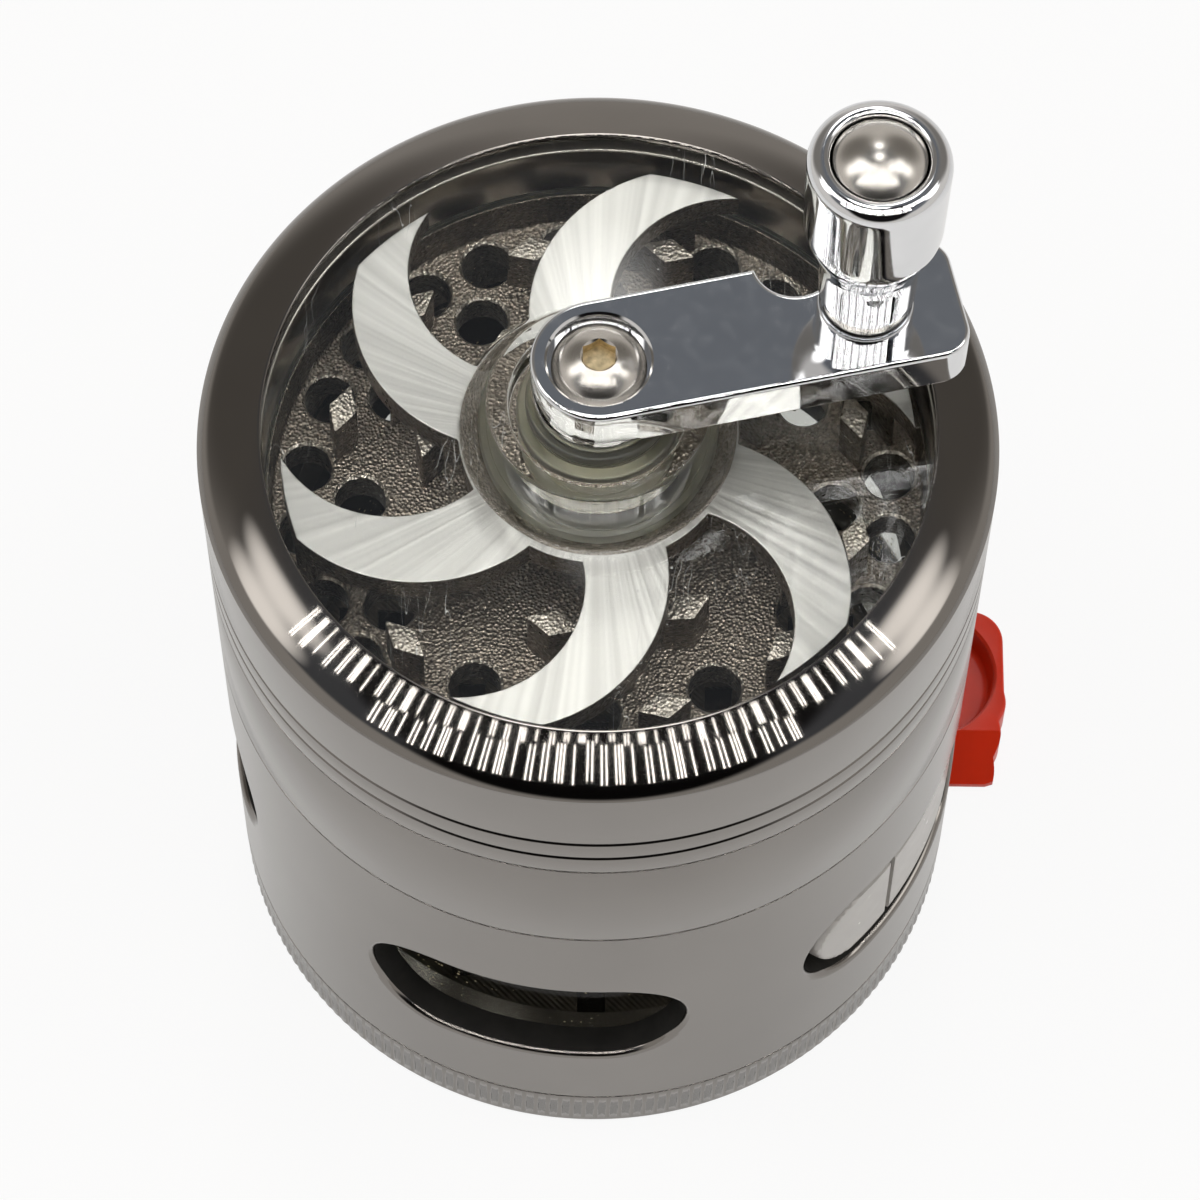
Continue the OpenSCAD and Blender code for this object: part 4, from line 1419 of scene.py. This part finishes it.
class GRINDER_OT_stage(bpy.types.Operator):
    """Lay the floor, hang the light strips and set up the camera."""
    bl_idname = "grinder.stage"
    bl_label = "Floor, light and camera"

    # Each fan of bars: name, first and last azimuth, clusters, spread of a cluster, and the rim's slopes that
    # a bar runs between. A slope is a start, a growth with the azimuth and a share of the lean, in degrees.
    fans = (("bars_inner", -52, 50.5, 44, 0.75, (10.2, 0, 0.4), (12.9, 0.216, 1)),
            ("bars_outer", -34, 30.5, 30, 1.0, (13.2, 0.232, 1), (28, 0.08, 1.6)))
    clusters = ((-0.4, 0.32), (-0.5, 0.06, 0.56), (-0.1,), (-0.3, 0.42))
    half_bar = 0.055
    bar_steps = 8
    lean_most = 0.6
    lean_pace = 2.4

    # Each disc in the room: azimuth from the front, height, radius and soft edge in degrees, and its shade.
    discs = ((-138, 36, 34, 22, "dusk"), (138, 36, 34, 22, "dusk"),
             (0, 40, 40, 12, "opening"), (0, 76, 34, 7, "opening"),
             (-104, 54.5, 11, 11, "glow"), (-92.5, 42, 12, 12, "glow"),
             (102.5, 55, 11, 11, "glow"), (90.5, 43, 12, 12, "glow"),
             (180, 51.5, 5, 2.5, "key"), (180, 72.5, 5.5, 2.5, "key"))
    ceiling = (0, 78, 57, 12)

    floor_radius = 3.0
    floor_drop = 0.05 * MM
    seen_white = 0.9
    mirrored_white = 0.45

    def sweep(self, look):
        """A wide white floor: it shows as white, and keeps the part's shadow."""
        mesh = bmesh.new()
        bmesh.ops.create_circle(mesh, cap_ends=True, radius=self.floor_radius, segments=96)
        floor = put("floor", settled("floor", mesh))
        floor.location.z = -self.floor_drop
        material = bare_material("white paper sweep")
        tree = material.node_tree
        rays = add(tree, "LightPath").outputs
        seen = add(tree, "Math", {0: rays["Is Camera Ray"], 1: rays["Is Transmission Ray"]},
                   operation="MAXIMUM")
        shown = add(tree, "Math", {0: seen.outputs["Value"], 1: self.seen_white}, operation="MULTIPLY")
        # In the metal the paper looks dimmer, because the part stands in its own shade.
        dimmed = add(tree, "Math", {0: rays["Is Glossy Ray"], 1: self.mirrored_white}, operation="MULTIPLY")
        share = add(tree, "Math", {0: shown.outputs["Value"], 1: dimmed.outputs["Value"]},
                    operation="MAXIMUM")
        paper = add(tree, "BsdfDiffuse", {"Color": rgba(look.floor)})
        white = add(tree, "Emission", {"Color": WHITE, "Strength": 1.0})
        both = add(tree, "MixShader", {0: share.outputs["Value"], 1: paper.outputs["BSDF"],
                                       2: white.outputs["Emission"]})
        add(tree, "OutputMaterial", {"Surface": both.outputs["Shader"]})
        floor.data.materials.append(material)

    def strips(self, look):
        """A fan of slim light bars over the part: each one mirrors in the rim as a short dash."""
        material = bare_material("white light bar")
        tree = material.node_tree
        glow = add(tree, "Emission", {"Color": (1.0, 0.98, 0.95, 1.0), "Strength": look.strip_power})
        add(tree, "OutputMaterial", {"Surface": glow.outputs["Emission"]})
        rim = Vector((0, 0, high("lid_ring") - 0.5 * MM))
        middle = reach("lid_ring") - 2.5 * MM

        def mirrored(azimuth, tilt):
            """Where the camera's ray to the rim lands on the bars' plane, for one slope of the rim."""
            out = Vector((math.sin(azimuth), -math.cos(azimuth), 0))
            normal = out * math.sin(tilt) + Vector((0, 0, math.cos(tilt)))
            spot = rim + out * middle
            ray = (spot - Vector(look.eye)).normalized().reflect(normal)
            return spot + ray * ((look.strip_rise - spot.z) / ray.z)

        for name, first, last, count, spread, *ends in self.fans:
            mesh = bmesh.new()
            for index in range(count):
                centre = first + (last - first) * index / (count - 1)
                lean = self.lean_most * math.sin(self.lean_pace * index)
                near, far = (start + growth * abs(centre) + share * lean for start, growth, share in ends)
                for offset in self.clusters[index % len(self.clusters)]:
                    middles = centre + spread * offset
                    turns = [math.radians(middles + side) for side in (-self.half_bar, self.half_bar)]
                    rows = []
                    for step in range(self.bar_steps + 1):
                        tilt = math.radians(near + (far - near) * step / self.bar_steps)
                        rows.append([mesh.verts.new(mirrored(turn, tilt)) for turn in turns])
                    for here, there in zip(rows, rows[1:]):
                        mesh.faces.new((here[0], here[1], there[1], there[0]))
            strip = put(name, settled(name, mesh))
            strip.data.materials.append(material)
            strip.visible_camera = False

    def disc(self, tree, way, tone, shade, place):
        """Lay a soft-edged disc of one shade over the tone of the room."""
        azimuth, rise, wide, soft = (math.radians(angle) for angle in place)
        middle = (math.cos(rise) * math.sin(azimuth), -math.cos(rise) * math.cos(azimuth), math.sin(rise))
        near = add(tree, "VectorMath", {0: way, 1: middle}, operation="DOT_PRODUCT")
        inside = add(tree, "MapRange", {"Value": near.outputs["Value"], "From Min": math.cos(wide),
                                        "From Max": math.cos(wide - soft)}, interpolation_type="SMOOTHSTEP")
        mixed = add(tree, "Mix", {"Factor": inside.outputs["Result"], "A": tone, "B": shade},
                    data_type="RGBA")
        return mixed.outputs["Result"]

    def room(self, scene, look):
        """A pale room with a grey ceiling, dim corners behind the part, a dark opening round the camera, a
        soft lamp on each side and two small lamps behind the zenith. The camera itself sees white."""
        world = bpy.data.worlds.new("studio")
        scene.world = world
        world.use_nodes = True
        tree = world.node_tree
        tree.nodes.clear()
        way = add(tree, "TexCoord").outputs["Generated"]
        tone = self.disc(tree, way, rgba(look.surround), rgba(look.ceiling), self.ceiling)
        for *place, shade in self.discs:
            tone = self.disc(tree, way, tone, rgba(getattr(look, shade)), place)
        rays = add(tree, "LightPath").outputs
        sky = add(tree, "Mix", {"Factor": rays["Is Camera Ray"], "A": tone, "B": WHITE}, data_type="RGBA")
        glow = add(tree, "Background", {"Color": sky.outputs["Result"], "Strength": 1.0})
        add(tree, "OutputWorld", {"Surface": glow.outputs["Background"]})

    def execute(self, context):
        scene = context.scene
        look = scene.grinder_stage
        self.sweep(look)
        self.strips(look)
        self.room(scene, look)
        lens = bpy.data.cameras.new("camera")
        lens.lens = look.lens
        lens.sensor_width = 36
        lens.clip_start = 0.01
        camera = put("camera", lens)
        lean = Matrix.Rotation(math.pi / 2 - look.elevation, 4, "X") @ Matrix.Rotation(look.roll, 4, "Z")
        camera.matrix_world = Matrix.Translation(look.eye) @ lean
        scene.camera = camera
        scene.view_settings.view_transform = "Standard"
        return {"FINISHED"}


OPERATORS = (
    GRINDER_OT_base,
    GRINDER_OT_window_section,
    GRINDER_OT_grinding_section,
    GRINDER_OT_lid,
    GRINDER_OT_rotor,
    GRINDER_OT_crank,
    GRINDER_OT_knob,
    GRINDER_OT_scraper,
    GRINDER_OT_stage,
)


class GRINDER_PT_panel(bpy.types.Panel):
    """Pieces of the grinder and the values that shape them."""
    bl_label = "Grinder"
    bl_idname = "GRINDER_PT_panel"
    bl_space_type = "VIEW_3D"
    bl_region_type = "UI"
    bl_category = "Grinder"

    def draw(self, context):
        for operator in OPERATORS:
            self.layout.operator(operator.bl_idname)
        for name, settings in SETTINGS.items():
            box = self.layout.box()
            box.label(text=settings.__doc__)
            for value in settings.__annotations__:
                box.prop(getattr(context.scene, name), value)


def register():
    for settings in SETTINGS.values():
        bpy.utils.register_class(settings)
    for name, settings in SETTINGS.items():
        setattr(bpy.types.Scene, name, PointerProperty(type=settings))
    for operator in OPERATORS:
        bpy.utils.register_class(operator)
    bpy.utils.register_class(GRINDER_PT_panel)


def unregister():
    bpy.utils.unregister_class(GRINDER_PT_panel)
    for operator in reversed(OPERATORS):
        bpy.utils.unregister_class(operator)
    for name in SETTINGS:
        delattr(bpy.types.Scene, name)
    for settings in reversed(SETTINGS.values()):
        bpy.utils.unregister_class(settings)


def main():
    register()
    bpy.ops.grinder.base()
    bpy.ops.grinder.window_section()
    bpy.ops.grinder.grinding_section()
    bpy.ops.grinder.lid()
    bpy.ops.grinder.rotor()
    bpy.ops.grinder.crank()
    bpy.ops.grinder.knob()
    bpy.ops.grinder.scraper()
    bpy.ops.grinder.stage()


if __name__ == "__main__":
    main()
